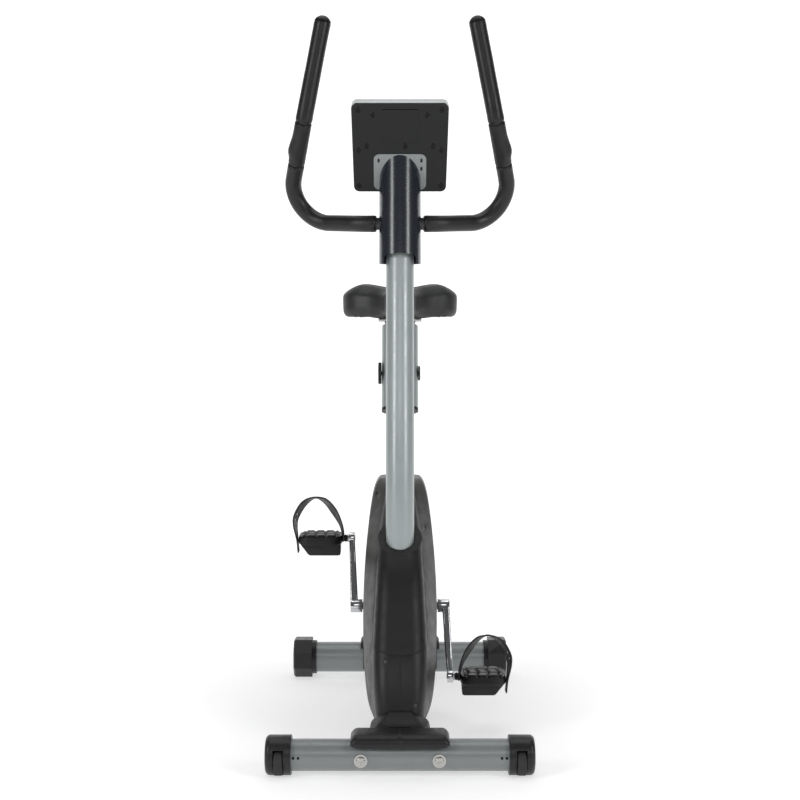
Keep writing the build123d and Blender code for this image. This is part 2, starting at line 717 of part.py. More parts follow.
def front_cover_region(gap=0.0):
    """The nose cover: the whole prow from the collar down to a shallow rounded seam."""
    bottom = COVER_SEAM_Z - gap
    corners = ((62, 430), (-62, 430), (-62, bottom + 14), (0, bottom), (62, bottom + 14))
    outline = FilletPolyline(*corners, radius=(1, 1, 1, 120, 1), close=True)
    back = [(d + gap, z) for d, z in COVER_BACK_EDGE]
    side = side_plate([(0, 180), (back[0][0], 180), *back, (0, 430)], -70, 70)
    return front_prism(make_face(outline), 0, POST_FOOT_DEPTH + gap) & side


# (depth, z) along the crease behind the prow.
COVER_BACK_EDGE = ((148.6, 200), (191.7, 300), (241.2, 372), (246, 380), (246, 430))


def beam_opening():
    return block(-BEAM_HALF - 0.5, BEAM_HALF + 0.5, 0, 600, 30, BEAM_TOP + 0.5)


def housing_shell():
    shell = housing_solid(0) - housing_solid(HOUSING_WALL)
    shell -= rod_x(15, -120, 120, CRANK_DEPTH, CRANK_Z)
    shell -= beam_opening()
    mast_hole = mast_plane.offset(150) * SlotOverall(MAST_WIDTH + 6, MAST_DEPTH + 6)
    shell -= extrude(mast_hole, 250)
    return shell - Pos(0, POST_FOOT_DEPTH - 3, 420) * Cylinder(POST_RADIUS + 1.5, 200)


def collar():
    column = Pos(0, POST_FOOT_DEPTH, 400) * Cylinder(COLLAR_RADIUS, 110)
    bore = Pos(0, POST_FOOT_DEPTH - 1.1, 400) * Cylinder(POST_RADIUS + 1.4, 140)
    return (column - bore) & collar_rim()


def screw_rod(radius, x, z, depth):
    return Pos(x, depth - 8, z) * Rot(90, 0, 0) * Cylinder(radius, 40)


def shell_screws():
    """Screws that hold the shells, sunk 1 mm below the surface."""
    core = housing_solid(1.0)
    return [screw_rod(SHELL_SCREW_RADIUS, *place) & core for place in SHELL_SCREWS]


# (x, z, depth of the surface there)
SHELL_SCREWS = ((-28, 190, 90), (30, 112, 64), (-48, 474, 402), (50, 414, 319))
SHELL_SCREW_RADIUS = 3.1


def front_cover():
    return (housing_shell() & front_cover_region()) + collar()


def side_shell(side):
    """The shell of one side, drawn as the left one, with the holes of that side's screws."""
    shell = (housing_shell() + chin()) & block(SEAM_GAP / 2, 120, 0, 700, 0, 700)
    shell -= beam_opening()
    shell -= front_cover_region(SEAM_GAP)
    shell -= Pos(0, POST_FOOT_DEPTH, 400) * Cylinder(COLLAR_RADIUS + SEAM_GAP, 200)
    for x, z, depth in SHELL_SCREWS:
        if x * side > 0:
            shell -= screw_rod(SHELL_SCREW_RADIUS, abs(x), z, depth)
    return shell


def chin():
    """Sloping foot of the nose, wider at the bottom."""
    outline = Polyline((-46, 70), (46, 70), (17, 101), (-17, 101), close=True)
    ramp = side_plate(((40, 69), (57, 102), (90, 102), (90, 69)), -60, 60)
    return (front_prism(make_face(outline), 38, 80) & ramp) - housing_solid(0)


# ---- drive ----
def tangent_loop(big_radius, small_radius, x0, x1):
    """Outline of a belt run round the crank pulley and the flywheel pulley, filled."""
    big = Vector(CRANK_DEPTH, CRANK_Z)
    small = Vector(FLYWHEEL_DEPTH, FLYWHEEL_Z)
    span = big - small
    lean = Vector(1, 0).get_signed_angle(span)
    spread = degrees(acos((big_radius - small_radius) / span.length))
    points = []
    around = ((small, small_radius, 1), (big, big_radius, 1), (big, big_radius, -1), (small, small_radius, -1))
    for centre, radius, sign in around:
        angle = radians(lean + sign * spread)
        points.append((centre.X + radius * cos(angle), centre.Y + radius * sin(angle)))
    loop = side_plate(points, x0, x1)
    loop += rod_x(big_radius, x0, x1, CRANK_DEPTH, CRANK_Z)
    return loop + rod_x(small_radius, x0, x1, FLYWHEEL_DEPTH, FLYWHEEL_Z)


def drive_belt():
    x0 = PULLEY_X - BELT_WIDTH / 2
    x1 = PULLEY_X + BELT_WIDTH / 2
    big = PULLEY_RADIUS + BELT_GAP
    small = SMALL_PULLEY_RADIUS + BELT_GAP
    outside = tangent_loop(big + BELT_THICKNESS, small + BELT_THICKNESS, x0, x1)
    return outside - tangent_loop(big, small, x0, x1)


def crank_pulley():
    x0 = PULLEY_X - PULLEY_WIDTH / 2
    x1 = PULLEY_X + PULLEY_WIDTH / 2
    pulley = tube_x(PULLEY_RADIUS, PULLEY_RADIUS - 10, x0, x1, CRANK_DEPTH, CRANK_Z)
    pulley += tube_x(PULLEY_RADIUS - 9, CRANK_AXLE_RADIUS, PULLEY_X - 2, PULLEY_X + 2, CRANK_DEPTH, CRANK_Z)
    pulley += tube_x(24, CRANK_AXLE_RADIUS, x0 - 3, x1 + 3, CRANK_DEPTH, CRANK_Z)
    for step in range(6):
        angle = radians(60 * step)
        pulley -= rod_x(13, x0, x1, CRANK_DEPTH + 56 * cos(angle), CRANK_Z + 56 * sin(angle))
    return pulley


def crank_axle():
    axle = rod_x(CRANK_AXLE_RADIUS, -BOSS_INNER_X + 1, BOSS_INNER_X - 1, CRANK_DEPTH, CRANK_Z)
    return axle + rod_x(7.5, -98, 98, CRANK_DEPTH, CRANK_Z)


def bearing_pair(outer, inner, x0, x1, depth, z):
    ring = tube_x(outer, inner + BEARING_GAP, x0, x1, depth, z)
    return [ring, mirrored_x(ring)]


def flywheel():
    wheel = rod_x(FLYWHEEL_RADIUS, -FLYWHEEL_HALF, FLYWHEEL_HALF, FLYWHEEL_DEPTH, FLYWHEEL_Z)
    for x0, x1 in ((-12, -4), (4, 12)):
        wheel -= tube_x(60, 22, x0, x1, FLYWHEEL_DEPTH, FLYWHEEL_Z)
    wheel += rod_x(20, -13, 13, FLYWHEEL_DEPTH, FLYWHEEL_Z)
    return wheel - rod_x(FLYWHEEL_AXLE_RADIUS, -20, 20, FLYWHEEL_DEPTH, FLYWHEEL_Z)


def flywheel_shaft():
    """Flywheel axle with the small belt pulley turned on it in one piece."""
    x0 = PULLEY_X - BELT_WIDTH / 2
    x1 = PULLEY_X + BELT_WIDTH / 2
    shaft = rod_x(FLYWHEEL_AXLE_RADIUS, x0, 26, FLYWHEEL_DEPTH, FLYWHEEL_Z)
    return shaft + rod_x(SMALL_PULLEY_RADIUS, x0, x1, FLYWHEEL_DEPTH, FLYWHEEL_Z)


def swung_open(shape):
    """Turns a piece drawn against the flywheel back to the lowest resistance."""
    pivot = Pos(0, *MAGNET_PIVOT)
    return pivot * Rot(-MAGNET_SWING, 0, 0) * pivot.inverse() * shape


def arc_plate(inner, outer, x0, x1, start_angle, end_angle):
    """Part of a ring about the flywheel's axis, between two angles from the rear horizontal."""
    ring = tube_x(outer, inner, x0, x1, FLYWHEEL_DEPTH, FLYWHEEL_Z)
    reach = 2 * outer
    points = [(FLYWHEEL_DEPTH, FLYWHEEL_Z)]
    for step in range(3):
        angle = radians(start_angle + (end_angle - start_angle) * step / 2)
        points.append((FLYWHEEL_DEPTH + reach * cos(angle), FLYWHEEL_Z + reach * sin(angle)))
    return ring & side_plate(points, x0, x1)


def magnet_bracket():
    inner = FLYWHEEL_RADIUS + 5
    bracket = arc_plate(inner, inner + 4, -13, 13, 8, 118)
    lug = rod_x(9, -13, 13, *MAGNET_PIVOT)
    bracket += lug
    bracket -= rod_x(4 + BEARING_GAP, -20, 20, *MAGNET_PIVOT)
    return swung_open(bracket)


def magnets():
    inner = FLYWHEEL_RADIUS + 2
    angles = (24, 44, 64, 84, 104)
    return group([swung_open(arc_plate(inner, inner + 3, -9, 9, a - 7, a + 7)) for a in angles])


# ---- cranks and pedals ----
arm_direction = Vector(0, -sin(radians(CRANK_ANGLE)), -cos(radians(CRANK_ANGLE)))
pedal_centre = Vector(0, CRANK_DEPTH, CRANK_Z) + arm_direction * CRANK_LENGTH


def opposite_crank(shape):
    """The same piece on the other end of the crank axle, half a turn round."""
    centre = Pos(0, CRANK_DEPTH, CRANK_Z)
    return mirrored_x(centre * Rot(180, 0, 0) * centre.inverse() * shape)


def crank_arm():
    boss_origin = ((88 + BOSS_OUTER_X) / 2, CRANK_DEPTH, CRANK_Z)
    boss_plane = Plane(origin=boss_origin, x_dir=(1, 0, 0), z_dir=arm_direction)
    eye_origin = Vector((ARM_EYE_INNER_X + ARM_EYE_OUTER_X) / 2, 0, 0) + pedal_centre
    eye_plane = Plane(origin=eye_origin, x_dir=(1, 0, 0), z_dir=arm_direction)
    arm = loft([boss_plane * RectangleRounded(16, 25, 3), eye_plane * RectangleRounded(12, 20, 3)])
    arm += rod_x(BOSS_RADIUS, BOSS_INNER_X, BOSS_OUTER_X, CRANK_DEPTH, CRANK_Z)
    arm += rod_x(EYE_RADIUS, ARM_EYE_INNER_X, ARM_EYE_OUTER_X, pedal_centre.Y, pedal_centre.Z)
    arm -= rod_x(7.5, 60, 99, CRANK_DEPTH, CRANK_Z)
    arm -= rod_x(9, 98, 120, CRANK_DEPTH, CRANK_Z)
    return arm - rod_x(SPINDLE_RADIUS, 80, 130, pedal_centre.Y, pedal_centre.Z)


def crank_bolt():
    return rod_x(8.6, 98, 102.5, CRANK_DEPTH, CRANK_Z)


def pedal_spindle():
    spindle = rod_x(SPINDLE_RADIUS, ARM_EYE_INNER_X - 1, 208, pedal_centre.Y, pedal_centre.Z)
    return spindle + rod_x(8.5, ARM_EYE_OUTER_X, ARM_EYE_OUTER_X + 3, pedal_centre.Y, pedal_centre.Z)


def pedal_body():
    depth = pedal_centre.Y
    z = pedal_centre.Z
    half = PEDAL_HALF_THICKNESS
    middle_x = (PEDAL_INNER_X + PEDAL_OUTER_X) / 2
    width = PEDAL_OUTER_X - PEDAL_INNER_X
    body = extrude(Pos(middle_x, depth, z - half) * RectangleRounded(width, PEDAL_LENGTH, 12), 2 * half)
    low = z - half - PEDAL_KEEL
    keel = make_face(Polyline((132, z - half), (206, z - half), (188, low), (132, low), close=True))
    body += front_prism(keel, depth - 20, depth + 20)
    for offset in (-38, -14, 14, 38):
        front = depth + offset - 5
        body += block(PEDAL_INNER_X + 6, PEDAL_OUTER_X - 6, front, front + 10, z + half, z + half + 4)
    for side in (-1, 1):
        for x in (137, 160, 183):
            body -= block(x, x + 15, depth + side * 26 - 6, depth + side * 26 + 6, z - 20, z + 20)
    body += rod_x(8.3, ARM_EYE_OUTER_X + 3.6, PEDAL_INNER_X + 1, depth, z)
    return body - rod_x(SPINDLE_RADIUS + BEARING_GAP, 100, 209, depth, z)


def pedal_strap():
    depth = pedal_centre.Y - 24
    z = pedal_centre.Z
    middle_x = (PEDAL_INNER_X + PEDAL_OUTER_X) / 2
    shoulder = z + PEDAL_HALF_THICKNESS + STRAP_HEIGHT - 48

    def arch(half_width, rise, bottom):
        upright = Pos(middle_x, (bottom + shoulder) / 2) * Rectangle(2 * half_width, shoulder - bottom)
        return upright + Pos(middle_x, shoulder) * Ellipse(half_width, rise)

    half = (PEDAL_OUTER_X - PEDAL_INNER_X) / 2
    band = arch(half + STRAP_THICKNESS, 48, z - 7) - arch(half, 48 - STRAP_THICKNESS, z - 60)
    strap = front_prism(band, depth - STRAP_WIDTH / 2, depth + STRAP_WIDTH / 2)
    tail_x = PEDAL_OUTER_X + STRAP_THICKNESS
    return strap + block(tail_x - 1, tail_x + 1.5, depth - 9, depth + 9, z - 26, z + 20)


# ---- seat ----
def lock_point():
    return mast_plane.origin + mast_plane.z_dir * LOCK_HEIGHT


def seat_sleeve():
    sleeve = oval_tube(SLEEVE_WIDTH, SLEEVE_DEPTH, 2.4, SLEEVE_BOTTOM, SLEEVE_TOP)
    sleeve += extrude(mast_plane.offset(SLEEVE_TOP - 3) * SlotOverall(SLEEVE_WIDTH, SLEEVE_DEPTH), 3)
    point = lock_point()
    return sleeve - rod_x(5.05, -60, 60, point.Y, point.Z)


def sleeve_bushing():
    inner = SlotOverall(MAST_WIDTH + 0.16, MAST_DEPTH + 0.16)
    bore = SlotOverall(SLEEVE_WIDTH - 4.8, SLEEVE_DEPTH - 4.8)
    liner = extrude(mast_plane.offset(SLEEVE_BOTTOM) * bore, 36)
    lip = extrude(mast_plane.offset(SLEEVE_BOTTOM - 7) * SlotOverall(SLEEVE_WIDTH, SLEEVE_DEPTH), 7)
    return liner + lip - extrude(mast_plane.offset(SLEEVE_BOTTOM - 8) * inner, 60)


def seat_clamp_knob():
    point = lock_point()
    knob = fillet(rod_x(24, -48, -40.8, point.Y, point.Z).edges(), 2)
    return knob + rod_x(5, -41, -29.6, point.Y, point.Z)


def sleeve_side_cap():
    point = lock_point()
    cap = fillet(rod_x(16, 40.3, 44.5, point.Y, point.Z).edges().sort_by(Axis.X)[-1:], 2)
    return cap + rod_x(5.0, 33, 41, point.Y, point.Z)


def saddle_clamp():
    depth, z = SEAT_PIVOT
    clamp = rod_x(9, -22, 22, depth, z) + block(-18, 18, depth - 11, depth + 11, z - 24, z)
    clamp -= extrude(mast_plane.offset(SLEEVE_TOP - 60) * SlotOverall(SLEEVE_WIDTH, SLEEVE_DEPTH), 60)
    return clamp - rod_x(4, -60, 60, depth, z)


def saddle_bolt():
    nut = tube_x(8.5, 4, 27.5, 34, *SEAT_PIVOT)
    return group([rod_x(4, -48, 48, *SEAT_PIVOT), nut, mirrored_x(nut)])


def saddle_ears():
    """Steel bracket under the saddle pan, with two ears on the tilt bolt."""
    depth, z = SEAT_PIVOT
    plate = block(-EARS_PLATE_HALF, EARS_PLATE_HALF, depth - 14, depth + 40, z + 11, z + 15)
    for x0, x1 in ((22.6, 26.6), (-26.6, -22.6)):
        plate += rod_x(11, x0, x1, depth, z) + block(x0, x1, depth - 11, depth + 11, z, z + 12)
    return plate - rod_x(4 + BEARING_GAP, -60, 60, depth, z)


def saddle_outline(inset=0.0):
    """Plan of the saddle: a rounded nose in front of two broad lobes."""
    side = PAD_HALF_WIDTH - inset
    rear = PAD_REAR - inset
    corners = (
        (33 - inset, PAD_FRONT + inset, 28 - inset),
        (47 - inset, 585 + inset / 3, 70),
        (side, 625 + inset, 62 - inset),
        (side, rear, 58 - inset),
        (50, rear, 60),
    )
    right = [(x, depth) for x, depth, radius in corners]
    left = [(-x, depth) for x, depth in reversed(right)]
    radii = [radius for x, depth, radius in corners]
    outline = FilletPolyline(
        *right, (0, rear - 8), *left, radius=radii + [200] + radii[::-1], close=True
    )
    return make_face(outline)


def saddle_pan():
    z = SEAT_PIVOT[1] + 15
    return extrude(Pos(0, 0, z) * saddle_outline(PAN_INSET + 2), PAD_BOTTOM - z, dir=(0, 0, 1))


def saddle_pad():
    """Padded cover with a skirt that hides the pan."""
    low = PAD_BOTTOM - 16
    pad = extrude(Pos(0, 0, low) * saddle_outline(), PAD_TOP - low, dir=(0, 0, 1))
    pad = fillet(pad.edges().group_by(Axis.Z)[-1], 22)
    return pad - extrude(Pos(0, 0, low - 1) * saddle_outline(PAN_INSET), 17, dir=(0, 0, 1))


# ---- assembly ----
def stabilizer_bolts():
    bolts = []
    for x in (-STABILIZER_BOLT_X, STABILIZER_BOLT_X):
        bolts.append(stabilizer_bolt(x, 0, FRONT_BOLT_Z, FRONT_TUBE_RADIUS, -1))
        bolts.append(stabilizer_bolt(x, WHEELBASE, REAR_AXIS_Z, REAR_TUBE_RADIUS, 1))
    return bolts


def pins():
    wheel_pin = rod_x(WHEEL_PIN_RADIUS, 213.5, 241, WHEEL_DEPTH, WHEEL_Z)
    return [wheel_pin, mirrored_x(wheel_pin), rod_x(4, -21, 21, *MAGNET_PIVOT)]


def main_frame():
    frame = low_beam() + crank_post() + bottom_bracket_shell()
    frame += saddle_bracket(0, FRONT_AXIS_Z, FRONT_BOLT_Z, FRONT_TUBE_RADIUS, 1)
    return frame + saddle_bracket(WHEELBASE, REAR_AXIS_Z, REAR_AXIS_Z, REAR_TUBE_RADIUS, -1)


front_cap = front_end_cap()
nodes["front_stabilizer_tube"] = front_tube()
nodes["rear_stabilizer_tube"] = rear_tube()
nodes["front_end_caps"] = group([front_cap, mirrored_x(front_cap)])
both_sides("transport_wheel", transport_wheel())
both_sides("levelling_cap", levelling_cap())
nodes["bolts_and_pins"] = group(stabilizer_bolts() + pins() + clamp_bolts())
nodes["front_stabilizer_cover"] = saddle_cover(0, FRONT_AXIS_Z, FRONT_TUBE_RADIUS, 1, 11.5, 56)
nodes["rear_stabilizer_cover"] = rear_cover()

fork = fork_plate()
nodes["main_frame"] = main_frame()
nodes["seat_mast"] = seat_mast()
nodes["post_socket"] = head_beam() + head_spigot()
nodes["flywheel_fork"] = group([fork, mirrored_x(fork)])

nodes["handlebar_post"] = handlebar_post()
nodes["tension_knob"] = tension_knob()
nodes["tension_base"] = tension_base()
nodes["tension_cable"] = tension_cable()

foam = [lower_grip(), upper_grip()]
nodes["handlebar_tube"] = bar_sweep(BAR_RADIUS, BAR_RADIUS - WALL)
nodes["foam_grips"] = group(foam + [mirrored_x(piece) for piece in foam])
for name, piece in (
    ("pulse_sensors", pulse_sensor()),
    ("pulse_plates", pulse_plate()),
    ("grip_end_plugs", grip_end_plug()),
):
    nodes[name] = group([piece, mirrored_x(piece)])

neck = neck_shell()
neck_front = neck_front_region()
nodes["neck_cover_front"] = neck & neck_front
nodes["neck_cover_rear"] = neck - neck_front
nodes["console_bracket"] = handlebar_clamp() + console_bracket()
nodes["console_back"] = console_back()
nodes["console_bezel"] = console_bezel()
nodes["display_lens"] = display_lens()
nodes["circuit_board"] = circuit_board()
nodes["battery_cover"] = battery_cover()
for number, button_x in enumerate(BUTTON_X, start=1):
    nodes[f"console_button_{number}"] = console_button(button_x)

nodes["front_cover"] = front_cover()
nodes["side_shell_left"] = side_shell(1)
nodes["side_shell_right"] = mirrored_x(side_shell(-1))
nodes["cover_screws"] = group(console_screws() + shell_screws())

pulley = crank_pulley()
nodes["crank_axle"] = crank_axle()
nodes["crank_pulley"] = pulley
nodes["drive_belt"] = drive_belt()
nodes["flywheel"] = flywheel()
nodes["flywheel_shaft"] = flywheel_shaft()
nodes["bearings"] = group(
    bearing_pair(BB_BORE, CRANK_AXLE_RADIUS, 25, 35, CRANK_DEPTH, CRANK_Z)
    + bearing_pair(14, FLYWHEEL_AXLE_RADIUS, 14.2, 21, FLYWHEEL_DEPTH, FLYWHEEL_Z)
)
nodes["magnet_bracket"] = magnet_bracket()
nodes["magnets"] = magnets()

arm = crank_arm()
hardware = [crank_bolt(), pedal_spindle()]
nodes["crank_arm_left"] = arm
nodes["crank_arm_right"] = opposite_crank(arm)
nodes["crank_bolts_and_spindles"] = group(hardware + [opposite_crank(piece) for piece in hardware])

right_pedal_shift = Pos(0, 2 * (CRANK_DEPTH - pedal_centre.Y), 2 * (CRANK_Z - pedal_centre.Z))
for name, piece in (("pedal_body", pedal_body()), ("pedal_strap", pedal_strap())):
    nodes[name + "_left"] = piece
    nodes[name + "_right"] = right_pedal_shift * mirrored_x(piece)

nodes["seat_sleeve"] = seat_sleeve()
nodes["sleeve_trim"] = group([sleeve_bushing(), sleeve_side_cap()])
nodes["seat_clamp_knob"] = seat_clamp_knob()
nodes["saddle_clamp"] = saddle_clamp()
nodes["saddle_bolt"] = saddle_bolt()
nodes["saddle_pan"] = saddle_pan() + saddle_ears()
nodes["saddle_pad"] = saddle_pad()

os.makedirs("parts", exist_ok=True)
for node_name, shape in nodes.items():
    export_step(Pos(0, -CENTRE_SHIFT, 0) * shape, f"parts/{node_name}.step")
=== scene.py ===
from math import cos, exp, pi, radians, sin, sqrt, tan

import bmesh
import bpy
import numpy as np
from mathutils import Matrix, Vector, noise
from mathutils.bvhtree import BVHTree


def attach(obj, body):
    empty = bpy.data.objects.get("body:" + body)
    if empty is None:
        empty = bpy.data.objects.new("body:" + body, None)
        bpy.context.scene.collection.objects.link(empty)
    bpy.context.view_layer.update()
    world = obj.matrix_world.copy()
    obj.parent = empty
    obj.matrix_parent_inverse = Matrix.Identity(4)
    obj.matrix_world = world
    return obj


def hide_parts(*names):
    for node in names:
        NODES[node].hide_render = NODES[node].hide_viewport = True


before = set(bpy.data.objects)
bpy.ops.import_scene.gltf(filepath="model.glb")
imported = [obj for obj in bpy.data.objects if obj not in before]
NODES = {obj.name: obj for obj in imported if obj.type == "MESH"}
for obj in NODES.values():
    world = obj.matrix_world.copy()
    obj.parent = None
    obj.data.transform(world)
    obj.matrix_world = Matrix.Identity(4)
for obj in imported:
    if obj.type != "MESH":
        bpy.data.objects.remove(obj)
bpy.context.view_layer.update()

MM = 0.001
CENTRE_SHIFT = 375.0

# ---- layout, in millimetres: (x, depth from the front stabilizer, z) ----
GRIP_RADIUS = 17.0
BAR_CORNER = Vector((243.0, 468.0, 1051.0))
BAR_RISE = Vector((194.0, 302.0, 1247.0))
BAR_TIP = Vector((155.5, 304.0, 1443.0))
BAR_Z = 1041.0
BAR_DEPTH = 241.0 + (BAR_Z - 560.0) * tan(radians(13.3))
BAR_STRAIGHT_X = 70.0
SENSOR_START = 0.60
SENSOR_RADIUS = 17.15
GRIP_START_X = 46.8
SHELL_TOP_Z = 1243.0
CRANK = Vector((0.0, 370.0, 242.0))
CRANK_LENGTH = 152.0
CRANK_ANGLE = radians(30)
FRONT_AXIS_Z = 36.0


def at(x, depth, z):
    """A layout point in millimetres as a scene point in metres."""
    return Vector((x * MM, (depth - CENTRE_SHIFT) * MM, z * MM))


# ---- camera ----
def make_camera():
    data = bpy.data.cameras.new("camera")
    data.lens = 65.91
    data.sensor_width = 36.0
    camera = bpy.data.objects.new("camera", data)
    camera.location = (0.0, -3.059, 0.8557)
    camera.rotation_euler = (radians(90 - 3.37), 0.0, 0.0)
    bpy.context.scene.collection.objects.link(camera)
    bpy.context.scene.camera = camera


# ---- materials ----
class Nodes:
    """A small builder for one material's node tree. Coordinates are object coordinates, in metres."""

    def __init__(self, name):
        self.material = bpy.data.materials.new(name)
        self.material.use_nodes = True
        self.tree = self.material.node_tree
        self.bsdf = self.tree.nodes["Principled BSDF"]
        self.coordinates = self.add("ShaderNodeTexCoord").outputs["Object"]

    def add(self, kind, **settings):
        node = self.tree.nodes.new(kind)
        for key, value in settings.items():
            setattr(node, key, value)
        return node

    def link(self, source, target):
        self.tree.links.new(source, target)

    def scaled(self, scale, rotation=(0, 0, 0)):
        mapping = self.add("ShaderNodeMapping")
        mapping.inputs["Scale"].default_value = scale
        mapping.inputs["Rotation"].default_value = rotation
        self.link(self.coordinates, mapping.inputs["Vector"])
        return mapping.outputs["Vector"]

    def noise(self, scale, detail=3.0, roughness=0.55, vector=None, distortion=0.0):
        node = self.add("ShaderNodeTexNoise")
        node.inputs["Scale"].default_value = scale
        node.inputs["Detail"].default_value = detail
        node.inputs["Roughness"].default_value = roughness
        node.inputs["Distortion"].default_value = distortion
        self.link(vector or self.coordinates, node.inputs["Vector"])
        return node.outputs["Fac"]

    def cells(self, scale, feature="F1", vector=None, randomness=1.0):
        node = self.add("ShaderNodeTexVoronoi", feature=feature)
        node.inputs["Scale"].default_value = scale
        node.inputs["Randomness"].default_value = randomness
        self.link(vector or self.coordinates, node.inputs["Vector"])
        return node.outputs["Distance"]

    def ramp(self, value, stops):
        node = self.add("ShaderNodeValToRGB")
        elements = node.color_ramp.elements
        while len(elements) < len(stops):
            elements.new(0.5)
        for element, (position, colour) in zip(elements, stops):
            element.position = position
            element.color = (*colour, 1.0) if len(colour) == 3 else colour
        self.link(value, node.inputs["Fac"])
        return node.outputs["Color"]

    def remap(self, value, low, high, start=0.0, end=1.0):
        node = self.add("ShaderNodeMapRange")
        node.inputs["From Min"].default_value = start
        node.inputs["From Max"].default_value = end
        node.inputs["To Min"].default_value = low
        node.inputs["To Max"].default_value = high
        self.link(value, node.inputs["Value"])
        return node.outputs["Result"]

    def math(self, operation, first, second):
        node = self.add("ShaderNodeMath", operation=operation)
        for socket, value in zip(node.inputs, (first, second)):
            if isinstance(value, (int, float)):
                socket.default_value = value
            else:
                self.link(value, socket)
        return node.outputs["Value"]

    def mix(self, factor, first, second, blend="MIX"):
        node = self.add("ShaderNodeMix", data_type="RGBA", blend_type=blend)
        for socket, value in ((node.inputs[0], factor), (node.inputs[6], first), (node.inputs[7], second)):
            if isinstance(value, (int, float)):
                socket.default_value = value
            elif isinstance(value, tuple):
                socket.default_value = (*value, 1.0)
            else:
                self.link(value, socket)
        return node.outputs[2]

    def bump(self, height, distance, strength=1.0, normal=None):
        node = self.add("ShaderNodeBump")
        node.inputs["Strength"].default_value = strength
        node.inputs["Distance"].default_value = distance
        self.link(height, node.inputs["Height"])
        if normal is not None:
            self.link(normal, node.inputs["Normal"])
        return node.outputs["Normal"]

    def set(self, **values):
        for key, value in values.items():
            self.bsdf.inputs[key.replace("_", " ")].default_value = value

    def feed(self, socket, source):
        self.link(source, self.bsdf.inputs[socket])


def shade(colour, factor):
    return tuple(min(1.0, max(0.0, part * factor)) for part in colour)


def varied_colour(n, colour, spread, scale=14.0):
    cloud = n.noise(scale, 4.0)
    return n.ramp(cloud, [(0.3, shade(colour, 1 - spread)), (0.7, shade(colour, 1 + spread))])


def painted_steel(name, colour, roughness=0.34):
    """Powder-coated steel: fine orange peel, metal fleck and a soft colour drift."""
    n = Nodes(name)
    base = varied_colour(n, colour, 0.045, 9.0)
    fleck = n.ramp(n.noise(2600.0, 2.0), [(0.42, shade(colour, 0.93)), (0.62, shade(colour, 1.06))])
    n.feed("Base Color", n.mix(0.35, base, fleck))
    n.feed("Roughness", n.remap(n.noise(38.0, 5.0), roughness - 0.06, roughness + 0.1, 0.3, 0.7))
    peel = n.bump(n.noise(900.0, 2.0), 0.00010, 0.2)
    n.feed("Normal", n.bump(n.noise(150.0, 2.0), 0.0002, 0.03, peel))
    n.set(Metallic=0.25, Coat_Weight=0.35, Coat_Roughness=0.22)
    return n.material


def moulded(name, colour, roughness=0.5, grain=1400.0, depth=0.00016, gloss=0.0, drift=0.12):
    """Injection-moulded plastic with a spark-eroded grain."""
    n = Nodes(name)
    base = varied_colour(n, colour, drift, 11.0)
    dust = n.ramp(n.noise(420.0, 5.0, 0.75), [(0.60, (0, 0, 0)), (0.76, (1, 1, 1))])
    n.feed("Base Color", n.mix(n.math("MULTIPLY", dust, 0.10), base, shade(colour, 2.4)))
    n.feed("Roughness", n.remap(n.noise(55.0, 5.0), roughness - 0.07, roughness + 0.1, 0.3, 0.7))
    pits = n.bump(n.cells(grain), depth, 0.5)
    n.feed("Normal", n.bump(n.noise(grain * 0.4, 3.0), depth * 1.5, 0.3, pits))
    n.set(Coat_Weight=gloss, Coat_Roughness=0.18, Specular_IOR_Level=0.32)
    return n.material


def polished_plastic(name, colour, roughness=0.14, coat=0.3):
    """High-gloss plastic: nearly flat, with faint moulding flow and fine hairline marks."""
    n = Nodes(name)
    n.feed("Base Color", varied_colour(n, colour, 0.10, 7.0))
    hairs = n.noise(26.0, 2.0, 0.5)
    n.feed("Roughness", n.remap(hairs, roughness - 0.01, roughness + 0.04, 0.35, 0.78))
    n.feed("Normal", n.bump(n.noise(500.0, 2.0), 0.00002, 0.06))
    n.set(Coat_Weight=coat, Coat_Roughness=0.20, Specular_IOR_Level=0.3)
    return n.material


def metal(name, colour, roughness=0.2, brushed=(1.0, 1.0, 1.0), peel=0.00005):
    """Bare or plated metal with fine marks along one direction."""
    n = Nodes(name)
    n.feed("Base Color", varied_colour(n, colour, 0.06, 40.0))
    marks = n.noise(900.0, 5.0, 0.7, n.scaled(brushed))
    n.feed("Roughness", n.remap(marks, max(0.03, roughness - 0.06), roughness + 0.12, 0.35, 0.75))
    n.feed("Normal", n.bump(marks, peel, 0.4, n.bump(n.noise(70.0, 3.0), 0.0002, 0.08)))
    n.set(Metallic=1.0)
    return n.material


def foam(name, colour):
    """Closed-cell foam sleeve: open pinholes darkened with painted shade, soft sheen, hand-worn sheen
    patches.
    """
    n = Nodes(name)
    base = varied_colour(n, colour, 0.16, 24.0)
    pores = n.cells(1150.0)
    # The pore centres are darkened to about a third in the base colour: painted shade in the pinholes.
    pinhole_shade = n.ramp(pores, [(0.10, shade(colour, 0.35)), (0.42, shade(colour, 1.12))])
    n.feed("Base Color", n.mix(0.45, base, pinhole_shade))
    n.feed("Roughness", n.remap(n.noise(20.0, 4.0), 0.32, 0.44, 0.3, 0.7))
    cell_bump = n.bump(pores, 0.0003, 0.3)
    n.feed("Normal", n.bump(n.noise(160.0, 4.0), 0.0006, 0.22, cell_bump))
    n.set(Specular_IOR_Level=0.36)
    return n.material


